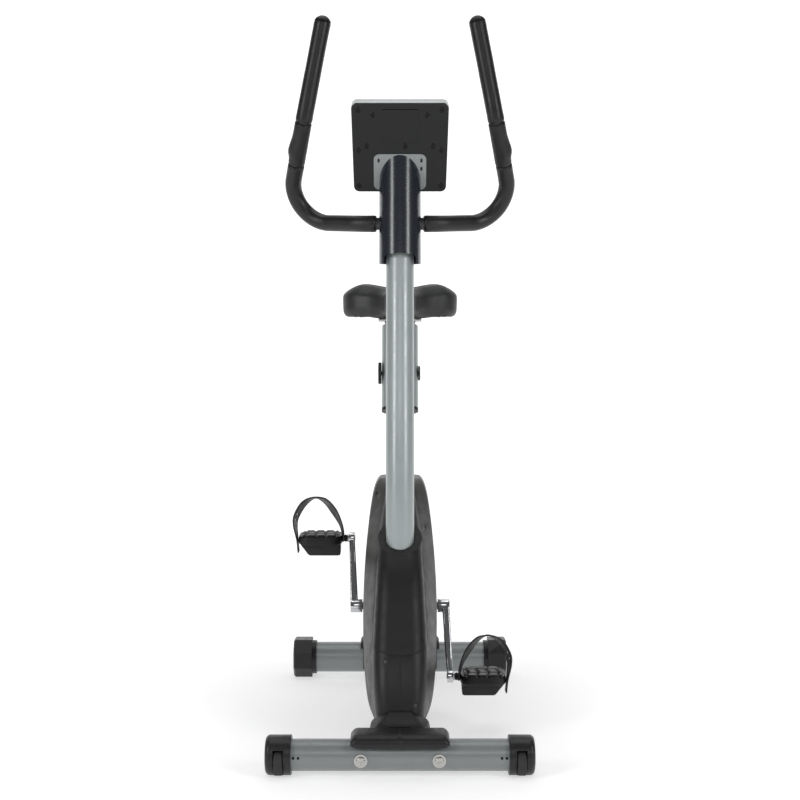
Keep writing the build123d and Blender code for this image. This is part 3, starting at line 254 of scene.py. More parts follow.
def vinyl(name, colour):
    """Coated saddle cover with a leather-like grain of pebbles and creases, the creases darkened with painted
    shade.
    """
    n = Nodes(name)
    warped = n.scaled((1.0, 1.0, 1.0))
    pebbles = n.cells(520.0, "SMOOTH_F1", warped)
    creases = n.cells(300.0, "DISTANCE_TO_EDGE", warped)
    base = varied_colour(n, colour, 0.14, 16.0)
    # Along the crease lines the base colour is darkened towards half: painted shade in the creases.
    n.feed("Base Color", n.mix(n.remap(creases, 0.5, 0.0, 0.0, 0.12), base, shade(colour, 0.5)))
    n.feed("Roughness", n.remap(n.noise(28.0, 5.0), 0.40, 0.58, 0.3, 0.7))
    n.feed("Normal", n.bump(creases, 0.00035, 0.35, n.bump(pebbles, 0.0006, 0.5)))
    n.set(Specular_IOR_Level=0.45, Coat_Weight=0.08, Coat_Roughness=0.4)
    return n.material


def soft_strap(name, colour):
    """Flexible PVC strap: satin, faint mould flow, stress whitening."""
    n = Nodes(name)
    base = varied_colour(n, colour, 0.15, 45.0)
    stress = n.ramp(n.noise(130.0, 5.0, 0.7), [(0.62, (0, 0, 0)), (0.8, (1, 1, 1))])
    n.feed("Base Color", n.mix(n.math("MULTIPLY", stress, 0.15), base, shade(colour, 2.6)))
    n.feed("Roughness", n.remap(n.noise(80.0, 4.0), 0.34, 0.52, 0.3, 0.7))
    n.feed("Normal", n.bump(n.noise(600.0, 3.0), 0.00018, 0.35))
    n.set(Specular_IOR_Level=0.5)
    return n.material


PROW_EDGE = ((0.066, 0.062), (0.110, 0.060), (0.200, 0.057), (0.300, 0.052), (0.372, 0.048), (0.425, 0.043),
             (0.470, 0.034), (0.502, 0.024))


def shell_plastic():
    """Side shells: dark graphite plastic, the outer flanks a lighter warm grey."""
    n = Nodes("shell_plastic")
    split = n.add("ShaderNodeSeparateXYZ")
    n.link(n.coordinates, split.inputs[0])
    side = n.math("ABSOLUTE", split.outputs["X"], 0.0)
    dark = varied_colour(n, (0.0105, 0.0105, 0.0110), 0.14, 12.0)
    light = varied_colour(n, (0.036, 0.034, 0.032), 0.10, 10.0)
    # The dark prow is as wide as the housing's crease, which narrows towards the top.
    stops = [(z / 0.52, (half / 0.08,) * 3) for z, half in PROW_EDGE]
    edge_ramp = n.ramp(n.remap(split.outputs["Z"], 0.0, 1.0, 0.0, 0.52), stops)
    edge = n.math("MULTIPLY", edge_ramp, 0.08)
    flank = n.math("SUBTRACT", side, edge)
    factor = n.remap(flank, 0.0, 1.0, 0.0, 0.006)
    dust = n.ramp(n.noise(380.0, 5.0, 0.75), [(0.60, (0, 0, 0)), (0.78, (1, 1, 1))])
    mixed = n.mix(factor, dark, light)
    n.feed("Base Color", n.mix(n.math("MULTIPLY", dust, 0.08), mixed, (0.09, 0.088, 0.085)))
    n.feed("Roughness", n.remap(n.noise(45.0, 5.0), 0.36, 0.52, 0.3, 0.7))
    pits = n.bump(n.cells(1500.0), 0.00014, 0.45)
    n.feed("Normal", n.bump(n.noise(520.0, 3.0), 0.0002, 0.3, pits))
    n.set(Specular_IOR_Level=0.34, Coat_Weight=0.05, Coat_Roughness=0.3)
    return n.material


def lens_material():
    """Smoked window over an unlit segment display."""
    n = Nodes("display_window")
    glass = varied_colour(n, (0.030, 0.036, 0.034), 0.12, 30.0)
    n.feed("Base Color", glass)
    n.feed("Roughness", n.remap(n.noise(90.0, 5.0, 0.8), 0.04, 0.16, 0.4, 0.8))
    n.feed("Normal", n.bump(n.noise(18.0, 2.0), 0.0004, 0.06))
    n.set(Coat_Weight=1.0, Coat_Roughness=0.03)
    return n.material


def board_material():
    n = Nodes("circuit_board")
    tracks = n.cells(260.0, "DISTANCE_TO_EDGE", n.scaled((1.0, 1.0, 0.2)))
    n.feed("Base Color", n.ramp(tracks, [(0.03, (0.10, 0.20, 0.06)), (0.10, (0.02, 0.09, 0.03))]))
    n.feed("Roughness", n.remap(tracks, 0.3, 0.5))
    n.feed("Normal", n.bump(tracks, 0.0001, 0.5))
    return n.material


def rubber(name, colour):
    n = Nodes(name)
    n.feed("Base Color", varied_colour(n, colour, 0.18, 30.0))
    n.feed("Roughness", n.remap(n.noise(120.0, 5.0), 0.6, 0.85, 0.3, 0.7))
    n.feed("Normal", n.bump(n.noise(700.0, 4.0), 0.0003, 0.4))
    return n.material


def paint_backdrop():
    """White paper that glows, more weakly where the machine stands, so that it gathers soft shadows: the glow
    is painted light and its dip is a painted pool of shade.
    """
    n = Nodes("backdrop_paper")
    n.feed("Base Color", varied_colour(n, (0.60, 0.60, 0.605), 0.004, 3.0))
    n.feed("Roughness", n.remap(n.noise(60.0, 3.0), 0.85, 0.95))
    reach = n.add("ShaderNodeVectorMath", operation="LENGTH")
    n.link(n.scaled((1.15, 0.75, 1.0)), reach.inputs[0])
    # Emission is painted light: it is weakest near the machine and full further out.
    n.feed("Emission Strength", n.remap(reach.outputs["Value"], 0.49, 0.80, 0.25, 1.0))
    n.set(Specular_IOR_Level=0.1, Emission_Color=(1.0, 1.0, 1.0, 1.0))
    return n.material


MATERIALS = {}


def make_materials():
    m = MATERIALS
    m["silver"] = painted_steel("silver_paint", (0.340, 0.378, 0.380), 0.34)
    m["tube_grey"] = painted_steel("tube_grey_paint", (0.215, 0.232, 0.235), 0.38)
    m["black_paint"] = painted_steel("black_paint", (0.022, 0.023, 0.025), 0.4)
    m["black_plastic"] = moulded("black_plastic", (0.0095, 0.0095, 0.0100), 0.44)
    m["cap_plastic"] = moulded("cap_plastic", (0.012, 0.012, 0.013), 0.38, 900.0, 0.00022, 0.15)
    m["cover_plastic"] = moulded("cover_plastic", (0.0105, 0.0105, 0.0112), 0.42, 1200.0, 0.00018, 0.1)
    m["gloss_black"] = polished_plastic("gloss_black", (0.0035, 0.0038, 0.0045), 0.14, 0.0)
    m["neck_gloss"] = polished_plastic("neck_gloss", (0.013, 0.016, 0.023), 0.27, 0.8)
    m["silver_plastic"] = moulded("silver_plastic", (0.56, 0.60, 0.60), 0.3, 1800.0, 0.00005, 0.4, 0.04)
    m["button_plastic"] = moulded("button_plastic", (0.10, 0.10, 0.11), 0.4, 1600.0, 0.0001, 0.1)
    m["shell"] = shell_plastic()
    m["chrome"] = metal("chrome", (0.62, 0.63, 0.65), 0.10, (1.0, 1.0, 0.3))
    m["zinc"] = metal("zinc_plate", (0.50, 0.49, 0.47), 0.26)
    m["steel"] = metal("machined_steel", (0.45, 0.45, 0.46), 0.26, (0.2, 1.0, 1.0))
    m["cast_iron"] = painted_steel("cast_iron", (0.05, 0.05, 0.055), 0.5)
    m["magnet"] = metal("magnet_plate", (0.55, 0.54, 0.52), 0.35)
    m["contact"] = metal("contact_plate", (0.66, 0.66, 0.66), 0.18, (1.0, 1.0, 0.1))
    m["foam"] = foam("grip_foam", (0.0085, 0.0085, 0.0092))
    m["vinyl"] = vinyl("saddle_vinyl", (0.016, 0.0165, 0.017))
    m["strap"] = soft_strap("strap_pvc", (0.0085, 0.0085, 0.0090))
    m["rubber"] = rubber("wheel_rubber", (0.020, 0.020, 0.021))
    m["belt"] = rubber("belt_rubber", (0.012, 0.012, 0.013))
    m["lens"] = lens_material()
    m["board"] = board_material()
    m["dark_screw"] = metal("dark_screw", (0.09, 0.09, 0.095), 0.32)
    m["stitch"] = moulded("seam_thread", (0.022, 0.022, 0.023), 0.6, 2400.0, 0.0003)
    # Near-black painted shade, for deep holes where only shade falls.
    m["painted_hole_shade"] = moulded("hole_shadow", (0.004, 0.004, 0.004), 0.8, 900.0, 0.0001)
    m["backdrop"] = paint_backdrop()


# CAD nodes that stay as they are: material, and the bevel width in millimetres.
FINISHES = {
    "front_stabilizer_tube": ("tube_grey", 0.0),
    "rear_stabilizer_tube": ("tube_grey", 0.0),
    "front_end_caps": ("cap_plastic", 0.8),
    "transport_wheel_left": ("rubber", 0.6),
    "transport_wheel_right": ("rubber", 0.6),
    "levelling_cap_left": ("cap_plastic", 1.0),
    "levelling_cap_right": ("cap_plastic", 1.0),
    "bolts_and_pins": ("zinc", 0.3),
    "front_stabilizer_cover": ("cover_plastic", 0.8),
    "rear_stabilizer_cover": ("cover_plastic", 0.8),
    "main_frame": ("black_paint", 0.6),
    "seat_mast": ("chrome", 0.4),
    "post_socket": ("black_plastic", 0.4),
    "flywheel_fork": ("black_paint", 0.6),
    "handlebar_post": ("silver", 0.0),
    "tension_knob": ("black_plastic", 0.8),
    "tension_base": ("black_plastic", 0.6),
    "tension_cable": ("belt", 0.0),
    "handlebar_tube": ("black_paint", 0.3),
    "pulse_sensors": ("black_plastic", 0.5),
    "pulse_plates": ("contact", 0.2),
    "grip_end_plugs": ("black_plastic", 0.5),
    "neck_cover_front": ("neck_gloss", 0.0),
    "neck_cover_rear": ("neck_gloss", 0.0),
    "console_bracket": ("tube_grey", 0.5),
    "console_back": ("gloss_black", 0.0),
    "console_bezel": ("silver_plastic", 0.9),
    "display_lens": ("lens", 0.3),
    "circuit_board": ("board", 0.0),
    "battery_cover": ("gloss_black", 0.5),
    "console_button_1": ("button_plastic", 0.8),
    "console_button_2": ("button_plastic", 0.8),
    "console_button_3": ("button_plastic", 0.8),
    "front_cover": ("black_plastic", 0.7),
    "side_shell_left": ("shell", 0.7),
    "side_shell_right": ("shell", 0.7),
    "cover_screws": ("dark_screw", 0.3),
    "crank_axle": ("steel", 0.3),
    "crank_pulley": ("black_plastic", 0.5),
    "drive_belt": ("belt", 0.0),
    "flywheel": ("cast_iron", 0.8),
    "flywheel_shaft": ("steel", 0.3),
    "bearings": ("steel", 0.2),
    "magnet_bracket": ("steel", 0.3),
    "magnets": ("magnet", 0.3),
    "crank_arm_left": ("chrome", 0.8),
    "crank_arm_right": ("chrome", 0.8),
    "crank_bolts_and_spindles": ("steel", 0.3),
    "seat_sleeve": ("silver", 0.0),
    "sleeve_trim": ("black_plastic", 0.6),
    "seat_clamp_knob": ("black_plastic", 0.8),
    "saddle_clamp": ("chrome", 0.5),
    "saddle_bolt": ("zinc", 0.3),
    "saddle_pan": ("black_plastic", 0.6),
}


def finish_node(name):
    node = NODES[name]
    material, bevel = FINISHES[name]
    node.data.materials.clear()
    node.data.materials.append(MATERIALS[material])
    if bevel:
        weld = node.modifiers.new("weld", "WELD")
        weld.merge_threshold = 0.000005
        soften = node.modifiers.new("bevel", "BEVEL")
        soften.width = bevel * MM
        soften.segments = 2
        soften.limit_method = "ANGLE"
        soften.angle_limit = radians(40)
        soften.harden_normals = False


# ---- mesh helpers ----
def mesh_object(name, vertices, faces, material, body, smooth=True):
    data = bpy.data.meshes.new(name)
    data.from_pydata([tuple(v) for v in vertices], [], faces)
    data.validate()
    shell = bmesh.new()
    shell.from_mesh(data)
    bmesh.ops.recalc_face_normals(shell, faces=shell.faces)
    shell.to_mesh(data)
    shell.free()
    if smooth:
        data.shade_smooth()
    data.materials.append(MATERIALS[material])
    piece = bpy.data.objects.new(name, data)
    bpy.context.scene.collection.objects.link(piece)
    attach(piece, body)
    return piece


def apply_modifiers(piece):
    depsgraph = bpy.context.evaluated_depsgraph_get()
    mesh = bpy.data.meshes.new_from_object(piece.evaluated_get(depsgraph))
    piece.modifiers.clear()
    piece.data = mesh


def subdivide(piece, levels):
    modifier = piece.modifiers.new("subdivision", "SUBSURF")
    modifier.levels = levels
    modifier.render_levels = levels
    return modifier


def filleted_path(corners, radii, step=4.0):
    """Points along a polyline whose inner corners are rounded, with even steps."""
    points = [corners[0].copy()]
    for before, corner, after, radius in zip(corners, corners[1:], corners[2:], radii):
        u = (before - corner).normalized()
        v = (after - corner).normalized()
        half = u.angle(v) / 2
        cut = radius / tan(half)
        centre = corner + (u + v).normalized() * (radius / sin(half))
        start = corner + u * cut
        end = corner + v * cut
        a = start - centre
        b = end - centre
        sweep = a.angle(b)
        count = max(4, int(radius * sweep / step))
        for i in range(count + 1):
            t = i / count
            points.append(centre + (a * sin((1 - t) * sweep) + b * sin(t * sweep)) / sin(sweep))
    points.append(corners[-1].copy())
    even = [points[0]]
    for p, q in zip(points, points[1:]):
        count = max(1, int((q - p).length / step))
        even += [p.lerp(q, (i + 1) / count) for i in range(count)]
    return even


def path_frames(points):
    """(tangent, normal, binormal) at each point, with as little twist as possible."""
    tangents = []
    for i in range(len(points)):
        a = points[max(0, i - 1)]
        b = points[min(len(points) - 1, i + 1)]
        tangents.append((b - a).normalized())
    reference = Vector((0, 1, 0)) if abs(tangents[0].y) < 0.9 else Vector((1, 0, 0))
    normal = (reference - tangents[0] * reference.dot(tangents[0])).normalized()
    frames = []
    for tangent in tangents:
        normal = (normal - tangent * normal.dot(tangent)).normalized()
        frames.append((tangent, normal, tangent.cross(normal)))
    return frames


def sweep_rings(points, radius_at, sides=40):
    """Vertices and faces of a closed tube. radius_at(i, direction) gives each radius in millimetres."""
    frames = path_frames(points)
    vertices = []
    faces = []
    for i, (point, (tangent, normal, binormal)) in enumerate(zip(points, frames)):
        for k in range(sides):
            angle = 2 * pi * k / sides
            direction = normal * cos(angle) + binormal * sin(angle)
            p = point + direction * radius_at(i, direction)
            vertices.append(at(p.x, p.y, p.z))
    for i in range(len(points) - 1):
        for k in range(sides):
            j = (k + 1) % sides
            faces.append((i * sides + k, i * sides + j, (i + 1) * sides + j, (i + 1) * sides + k))
    faces.append(tuple(range(sides - 1, -1, -1)))
    last = (len(points) - 1) * sides
    faces.append(tuple(range(last, last + sides)))
    return vertices, faces


def joined_rings(rows):
    """Faces between closed rings of vertex numbers."""
    faces = []
    for a, b in zip(rows, rows[1:]):
        for k in range(len(a)):
            j = (k + 1) % len(a)
            faces.append((a[k], a[j], b[j], b[k]))
    return faces


def lengths_along(points):
    total = [0.0]
    for p, q in zip(points, points[1:]):
        total.append(total[-1] + (q - p).length)
    return total


# ---- foam grips ----
def bar_points():
    straight = [Vector((x, BAR_DEPTH, BAR_Z)) for x in (BAR_STRAIGHT_X, 0)]
    left = [BAR_TIP, BAR_RISE, BAR_CORNER, *straight]
    return filleted_path(left, [85.0, 68.0, 110.0], 3.0)


def foam_piece(name, points):
    """One sleeve of foam, rounded over at its ends and slightly lumpy where it was pushed on."""
    length = lengths_along(points)
    total = length[-1]

    def radius_at(i, direction):
        end = min(length[i], total - length[i])
        round_over = sqrt(max(0.0, 1 - (1 - min(1.0, end / 2.0)) ** 2))
        lump = noise.noise((points[i] + direction * 40) * 0.02) * 0.35
        cuff = 0.3 * exp(-(((end - 7.0) / 4.0) ** 2))
        return GRIP_RADIUS - 0.8 * (1 - round_over) + lump + cuff - 0.1

    vertices, faces = sweep_rings(points, radius_at)
    piece = mesh_object(name, vertices, faces, "foam", "handlebar")
    return piece


def pulse_shell(name, points, side):
    """The pulse grip: a smooth shell that swells outwards, more sharply towards its lower end."""
    length = lengths_along(points)
    total = length[-1]

    def radius_at(i, direction):
        t = length[i] / total
        swell = exp(-(((t - 0.70) / (0.26 if t < 0.70 else 0.14)) ** 2))
        outward = max(0.0, direction.x * side)
        end = min(t, 1 - t) * total
        edge = 0.4 * (1 - min(1.0, end / 2.0)) ** 2
        return SENSOR_RADIUS + 4.6 * swell * outward**0.8 - edge

    vertices, faces = sweep_rings(points, radius_at, 48)
    return mesh_object(name, vertices, faces, "black_plastic", "handlebar")


def mirrored(points):
    return [Vector((-p.x, p.y, p.z)) for p in points]


def make_grips():
    rise = BAR_RISE - BAR_CORNER
    direction = rise.normalized()
    start = BAR_CORNER + rise * SENSOR_START
    points = bar_points()
    top = next(i for i, p in enumerate(points) if p.z < SHELL_TOP_Z)
    low = next(i for i, p in enumerate(points) if (p - start).dot(direction) < 0)
    upper = points[:top]
    shell = points[top : low + 1]
    lower = [p for p in points[low + 1 :] if p.x > GRIP_START_X]
    for side, turn in ((1, list), (-1, mirrored)):
        label = "left" if side > 0 else "right"
        for part, path in (("upper", upper), ("lower", lower)):
            foam_sleeve = foam_piece(f"foam_{part}_{label}", turn(path))
            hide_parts("foam_grips")
        pulse = pulse_shell(f"pulse_shell_{label}", turn(shell), side)
        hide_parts("pulse_sensors")
        middle = turn(shell)[int(len(shell) * 0.62)]
        place = middle + Vector((0, -SENSOR_RADIUS - 0.6, 0))
        screw_head(f"pulse_screw_{label}", place, Vector((0, -1, 0.2)), 3.4)


def screw_head(name, place, outward, radius, material="zinc", body="handlebar"):
    """A small pan head with a cross recess, facing along outward."""
    rings = ((0.0, 1.0), (0.5, 1.0), (0.95, 0.86), (1.15, 0.55))
    sides = 32
    turn = outward.normalized().to_track_quat("Z", "Y").to_matrix()
    vertices = []
    for height, share in rings:
        for k in range(sides):
            angle = 2 * pi * k / sides
            local = Vector((cos(angle) * share * radius, sin(angle) * share * radius, height * radius / 3))
            p = place + turn @ local
            vertices.append(at(p.x, p.y, p.z))
    last = (len(rings) - 1) * sides
    slot_depth = 0.16 * radius
    for k in range(sides):
        angle = 2 * pi * k / sides
        in_slot = min(abs(cos(angle)), abs(sin(angle))) < 0.22
        top = rings[-1][0] * radius / 3 - (slot_depth if in_slot else 0.0)
        p = place + turn @ Vector((cos(angle) * 0.5 * radius, sin(angle) * 0.5 * radius, top))
        vertices.append(at(p.x, p.y, p.z))
    centre = place + turn @ Vector((0, 0, rings[-1][0] * radius / 3 - slot_depth))
    vertices.append(at(centre.x, centre.y, centre.z))
    faces = [tuple(range(sides - 1, -1, -1))]
    for ring in range(len(rings)):
        for k in range(sides):
            j = (k + 1) % sides
            faces.append((ring * sides + k, ring * sides + j, (ring + 1) * sides + j, (ring + 1) * sides + k))
    hub = len(vertices) - 1
    faces += [(last + sides + k, last + sides + (k + 1) % sides, hub) for k in range(sides)]
    return mesh_object(name, vertices, faces, material, body)


# ---- pedals ----
PEDAL_MIDDLE_X = 170.0
PEDAL_HALF_WIDTH = 47.0
PEDAL_HALF_LENGTH = 48.0
STRAP_FRONT_EDGE = (
    (46.9, -26.5), (49.5, 1.3), (56.5, 33.0), (54.9, 55.4), (39.6, 81.5), (19.0, 92.0), (-4.8, 92.0),
    (-19.0, 85.0), (-34.5, 66.6), (-44.5, 43.4), (-49.8, 21.9), (-50.6, 0.0),
)
STRAP_REAR_EDGE = (
    (46.5, -26.0), (49.0, 1.0), (50.5, 29.8), (46.6, 47.7), (31.0, 73.0), (11.1, 88.0), (-7.4, 78.0),
    (-23.3, 57.0), (-39.2, 32.8), (-45.5, 15.6), (-49.2, 0.0),
)


def pedal_centre(side):
    return Vector((side * PEDAL_MIDDLE_X, CRANK.y - side * CRANK_LENGTH * sin(CRANK_ANGLE),
                   CRANK.z - side * CRANK_LENGTH * cos(CRANK_ANGLE)))


class Shape:
    """Collects vertices and faces around a pedal's centre; u runs outwards from the bike."""

    def __init__(self, centre, side):
        self.centre = centre
        self.side = side
        self.vertices = []
        self.faces = []

    def point(self, u, depth, z):
        self.vertices.append(at(self.centre.x + self.side * u, self.centre.y + depth, self.centre.z + z))
        return len(self.vertices) - 1

    def grid(self, rows, wrap_across=False, wrap_along=False):
        """Faces between rows of already added points."""
        count = len(rows)
        for i in range(count if wrap_along else count - 1):
            a, b = rows[i], rows[(i + 1) % count]
            across = len(a)
            for k in range(across if wrap_across else across - 1):
                j = (k + 1) % across
                self.faces.append((a[k], a[j], b[j], b[k]))


def pedal_outline(angle, shrink=0.0):
    """The pedal's plan: a rounded rectangle with slightly bowed sides."""
    c, s = cos(angle), sin(angle)
    u = (PEDAL_HALF_WIDTH - shrink) * abs(c) ** 0.45 * (1 if c > 0 else -1)
    depth = (PEDAL_HALF_LENGTH - shrink) * abs(s) ** 0.55 * (1 if s > 0 else -1)
    return u, depth


def pedal_band(shape):
    profile = (
        (7.5, -7.5), (2.0, -8.8), (0.6, -7.0), (0.0, -2.5), (0.0, 2.5), (0.6, 6.6), (2.2, 8.6), (7.5, 7.5),
    )
    rows = []
    for k in range(96):
        angle = 2 * pi * (k + 0.5) / 96
        rows.append([shape.point(*pedal_outline(angle, shrink), z) for shrink, z in profile])
    shape.grid(rows, wrap_across=True, wrap_along=True)


def tread_height(u, depth):
    """Wavy tread blocks with grooves between them."""
    wave = abs(cos(pi * (u + 2.5 * sin(2 * pi * depth / 46)) / 21.0))
    block_top = min(1.0, wave * 1.9)
    cross = min(1.0, abs(abs(depth) - 15.0) / 2.5)
    return 6.5 + 5.6 * block_top * (0.35 + 0.65 * cross)


def pedal_tread(shape):
    across, along = 64, 64
    top, bottom = [], []
    for i in range(along + 1):
        v = 2 * i / along - 1
        top_row, bottom_row = [], []
        for k in range(across + 1):
            w = 2 * k / across - 1
            limit_u = (PEDAL_HALF_WIDTH - 5) * (1 - 0.16 * abs(v) ** 5)
            limit_d = (PEDAL_HALF_LENGTH - 5) * (1 - 0.12 * abs(w) ** 5)
            u, depth = w * limit_u, v * limit_d
            rim = min(1.0, 6 * (1 - max(abs(w), abs(v))) + 0.35)
            top_row.append(shape.point(u, depth, tread_height(u, depth) * rim))
            bottom_row.append(shape.point(u, depth, -7.0))
        top.append(top_row)
        bottom.append(bottom_row)
    shape.grid(top)
    shape.grid([row[::-1] for row in bottom])
    shape.grid([top[0], bottom[0]])
    shape.grid([bottom[-1], top[-1]])
    shape.grid([[row[0] for row in bottom], [row[0] for row in top]])
    shape.grid([[row[-1] for row in top], [row[-1] for row in bottom]])


def pedal_keel(shape):
    """The weighted keel that keeps the pedal level: inner side upright, outer side slanted."""
    levels = (
        (-7.5, -43.0, 43.0, 30.0), (-12.0, -43.0, 41.0, 29.0), (-32.0, -42.5, 27.0, 23.0),
        (-34.6, -40.5, 24.5, 20.5),
    )
    rows = []
    for z, inner, outer, half in levels:
        corner = 3.0
        ring = (
            (inner, -half + corner), (inner + corner, -half),
            (outer - corner, -half), (outer, -half + corner),
            (outer, half - corner), (outer - corner, half), (inner + corner, half), (inner, half - corner),
        )
        rows.append([shape.point(u, depth, z) for u, depth in ring])
    shape.grid(rows, wrap_across=True)
    shape.faces.append(tuple(rows[0]))
    shape.faces.append(tuple(reversed(rows[-1])))


def pedal_sleeve(shape):
    """The ribbed spindle housing between the platform and the crank."""
    profile = ((-44, 8.3), (-49, 8.3), (-49.6, 7.0), (-51.6, 7.0), (-52.2, 8.2), (-54.0, 8.2), (-54.6, 7.0),
               (-56.0, 7.0), (-56.4, 8.0), (-57.2, 8.0), (-57.4, 6.2))
    rows = []
    for u, radius in profile:
        turns = [2 * pi * k / 28 for k in range(28)]
        rows.append([shape.point(u, radius * cos(turn), radius * sin(turn)) for turn in turns])
    shape.grid(rows, wrap_across=True)
    shape.faces.append(tuple(rows[0]))
    shape.faces.append(tuple(reversed(rows[-1])))


def make_pedal(side):
    label = "left" if side > 0 else "right"
    shape = Shape(pedal_centre(side), side)
    for part in (pedal_band, pedal_tread, pedal_keel, pedal_sleeve):
        part(shape)
    name = "pedal_" + label
    piece = mesh_object(name, shape.vertices, shape.faces, "black_plastic", name, False)
    piece.data.shade_smooth()
    piece.data.set_sharp_from_angle(angle=radians(32))
    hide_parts("pedal_body_" + label)
    make_strap(side, label)


def smooth_curve(points, count):
    """Even samples of a Catmull-Rom curve through the points."""
    points = [Vector((x, 0, z)) for x, z in points]
    ends = [points[0] * 2 - points[1]] + points + [points[-1] * 2 - points[-2]]
    dense = []
    for a, b, c, d in zip(ends, ends[1:], ends[2:], ends[3:]):
        for k in range(24):
            t = k / 24
            dense.append(0.5 * (2 * b + (c - a) * t + (2 * a - 5 * b + 4 * c - d) * t * t
                                + (3 * b - a - 3 * c + d) * t ** 3))
    dense.append(points[-1])
    length = lengths_along(dense)
    marks = np.linspace(0, length[-1], count)
    xs = np.interp(marks, length, [p.x for p in dense])
    zs = np.interp(marks, length, [p.z for p in dense])
    return list(zip(xs, zs))


def make_strap(side, label):
    """A PVC toe strap with moulded edge ribs, adjusting holes and a hanging tail."""
    shape = Shape(pedal_centre(side), side)
    stations = 120
    across = 8
    front = smooth_curve(STRAP_FRONT_EDGE, stations)
    rear = smooth_curve(STRAP_REAR_EDGE, stations)
    rows = []
    for i, ((fu, fz), (ru, rz)) in enumerate(zip(front, rear)):
        tail = max(0.0, 1 - i / 16)
        front_depth = -37.0 + 5.0 * tail
        rear_depth = -10.0 - 5.0 * tail
        row = []
        for k in range(across + 1):
            t = k / across
            depth = front_depth + (rear_depth - front_depth) * t
            row.append(shape.point(fu + (ru - fu) * t, depth, fz + (rz - fz) * t))
        rows.append(row)
    holes = (8, 14, 26, 32, 38)
    for i in range(stations - 1):
        for k in range(across):
            if k in (3, 4) and i in holes:
                continue
            shape.faces.append((rows[i][k], rows[i][k + 1], rows[i + 1][k + 1], rows[i + 1][k]))
    piece = mesh_object("strap_" + label, shape.vertices, shape.faces, "strap", "pedal_" + label)
    thick = piece.modifiers.new("thickness", "SOLIDIFY")
    thick.thickness = 0.0026
    thick.offset = 0.0
    soften = piece.modifiers.new("edges", "BEVEL")
    soften.width = 0.0006
    soften.segments = 2
    soften.limit_method = "ANGLE"
    soften.angle_limit = radians(50)
    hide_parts("pedal_strap_" + label)
    ribs = Shape(pedal_centre(side), side)
    for column in (0, across):
        edge = []
        for i in range(stations):
            fu, fz = front[i]
            ru, rz = rear[i]
            tail = max(0.0, 1 - i / 16)
            t = 0.04 if column == 0 else 0.96
            depth = (-37.0 + 5.0 * tail) * (1 - t) + (-10.0 - 5.0 * tail) * t
            edge.append(Vector((fu + (ru - fu) * t, depth, fz + (rz - fz) * t)))
        frames = path_frames(edge)
        rings = []
        for p, (tangent, normal, binormal) in zip(edge, frames):
            ring = []
            for k in range(10):
                offset = normal * (1.7 * cos(2 * pi * k / 10)) + binormal * (1.7 * sin(2 * pi * k / 10))
                ring.append(ribs.point(p.x + offset.x, p.y + offset.y, p.z + offset.z))
            rings.append(ring)
        ribs.grid(rings, wrap_across=True)
        ribs.faces.append(tuple(reversed(rings[0])))
        ribs.faces.append(tuple(rings[-1]))
    mesh_object("strap_ribs_" + label, ribs.vertices, ribs.faces, "strap", "pedal_" + label)
    centre = pedal_centre(side)
    stud = Vector((centre.x + side * 48.5, centre.y - 23.5, centre.z + 1.0))
    screw_head("strap_stud_" + label, stud, Vector((side, 0, 0)), 5.0, "black_plastic", "pedal_" + label)


# ---- front pillow cover ----
PILLOW_PROFILE = ((27, 78), (22, 81.5), (8, 82.6), (-14, 82.2), (-25, 81.0), (-33, 77.0), (-38.4, 71.0),
                  (-39.2, 64.0), (-37.6, 59.8), (-33.0, 58.2))
PILLOW_HALF = 92.0
PILLOW_MIDDLE = 70.0
PILLOW_ROUND_FROM = 79.0
PILLOW_BORE = 30.2
BORE_POINTS = 18


def pillow_outer():
    points = [Vector((d, 0, z)) for d, z in PILLOW_PROFILE]
    for _ in range(2):
        cut = [points[0]]
        for p, q in zip(points, points[1:]):
            cut += [p.lerp(q, 0.25), p.lerp(q, 0.75)]
        points = cut + [points[-1]]
    return points


def make_pillow():
    """The moulded cover over the front joint: bowed lower edge, rounded ends, a middle parting line."""
    outer = pillow_outer()
    steps = [0.0, 0.5, 1.0, 1.8, 6.0, 20.0, 40.0, 58.0, 70.0, 76.0, 80.0, 84.0, 87.0, 89.5, 91.0, PILLOW_HALF]
    xs = [-x for x in reversed(steps)] + steps[1:]
    vertices, faces, rows = [], [], []
    axis = Vector((0, 0, FRONT_AXIS_Z))
    for x in xs:
        reach = max(0.0, (abs(x) - PILLOW_ROUND_FROM) / (PILLOW_HALF - PILLOW_ROUND_FROM))
        swell = sqrt(max(0.0, 1 - reach**2.0))
        groove = 0.9 * exp(-((x / 0.8) ** 2))
        bow = 2.2 * (1 - (x / PILLOW_HALF) ** 2)
        row = []
        for p in outer:
            direction = p - axis
            distance = direction.length
            near = 31.0
            share = near + (distance - near) * (0.55 + 0.45 * swell) - groove
            q = axis + direction.normalized() * share
            low = max(0.0, min(1.0, (70.0 - q.z) / 12.0))
            height = (q.z - bow * low - PILLOW_MIDDLE) * (0.06 + 0.94 * swell)
            row.append((x, q.x, PILLOW_MIDDLE + height))
        for k in range(BORE_POINTS):
            t = k / (BORE_POINTS - 1)
            angle = radians(140.0 - 92.0 * t)
            row.append((x, PILLOW_BORE * cos(pi - angle), FRONT_AXIS_Z + PILLOW_BORE * sin(angle)))
        rows.append(range(len(vertices), len(vertices) + len(row)))
        vertices += [at(*p) for p in row]
    faces += joined_rings(rows)
    faces.append(tuple(reversed(rows[0])))
    faces.append(tuple(rows[-1]))
    piece = mesh_object("front_pillow_cover", vertices, faces, "cover_plastic", "frame")
    piece.data.set_sharp_from_angle(angle=radians(50))
    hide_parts("front_stabilizer_cover")


CHIN_RINGS = (
    # z, depth of the face, half width
    (103.0, 57.0, 26.0), (100.0, 52.0, 29.0), (96.0, 44.0, 34.0), (92.0, 36.0, 40.0), (88.0, 29.0, 46.0),
    (84.0, 23.5, 51.0), (79.0, 19.5, 55.0), (72.0, 17.0, 57.0), (66.0, 16.5, 57.5),
)


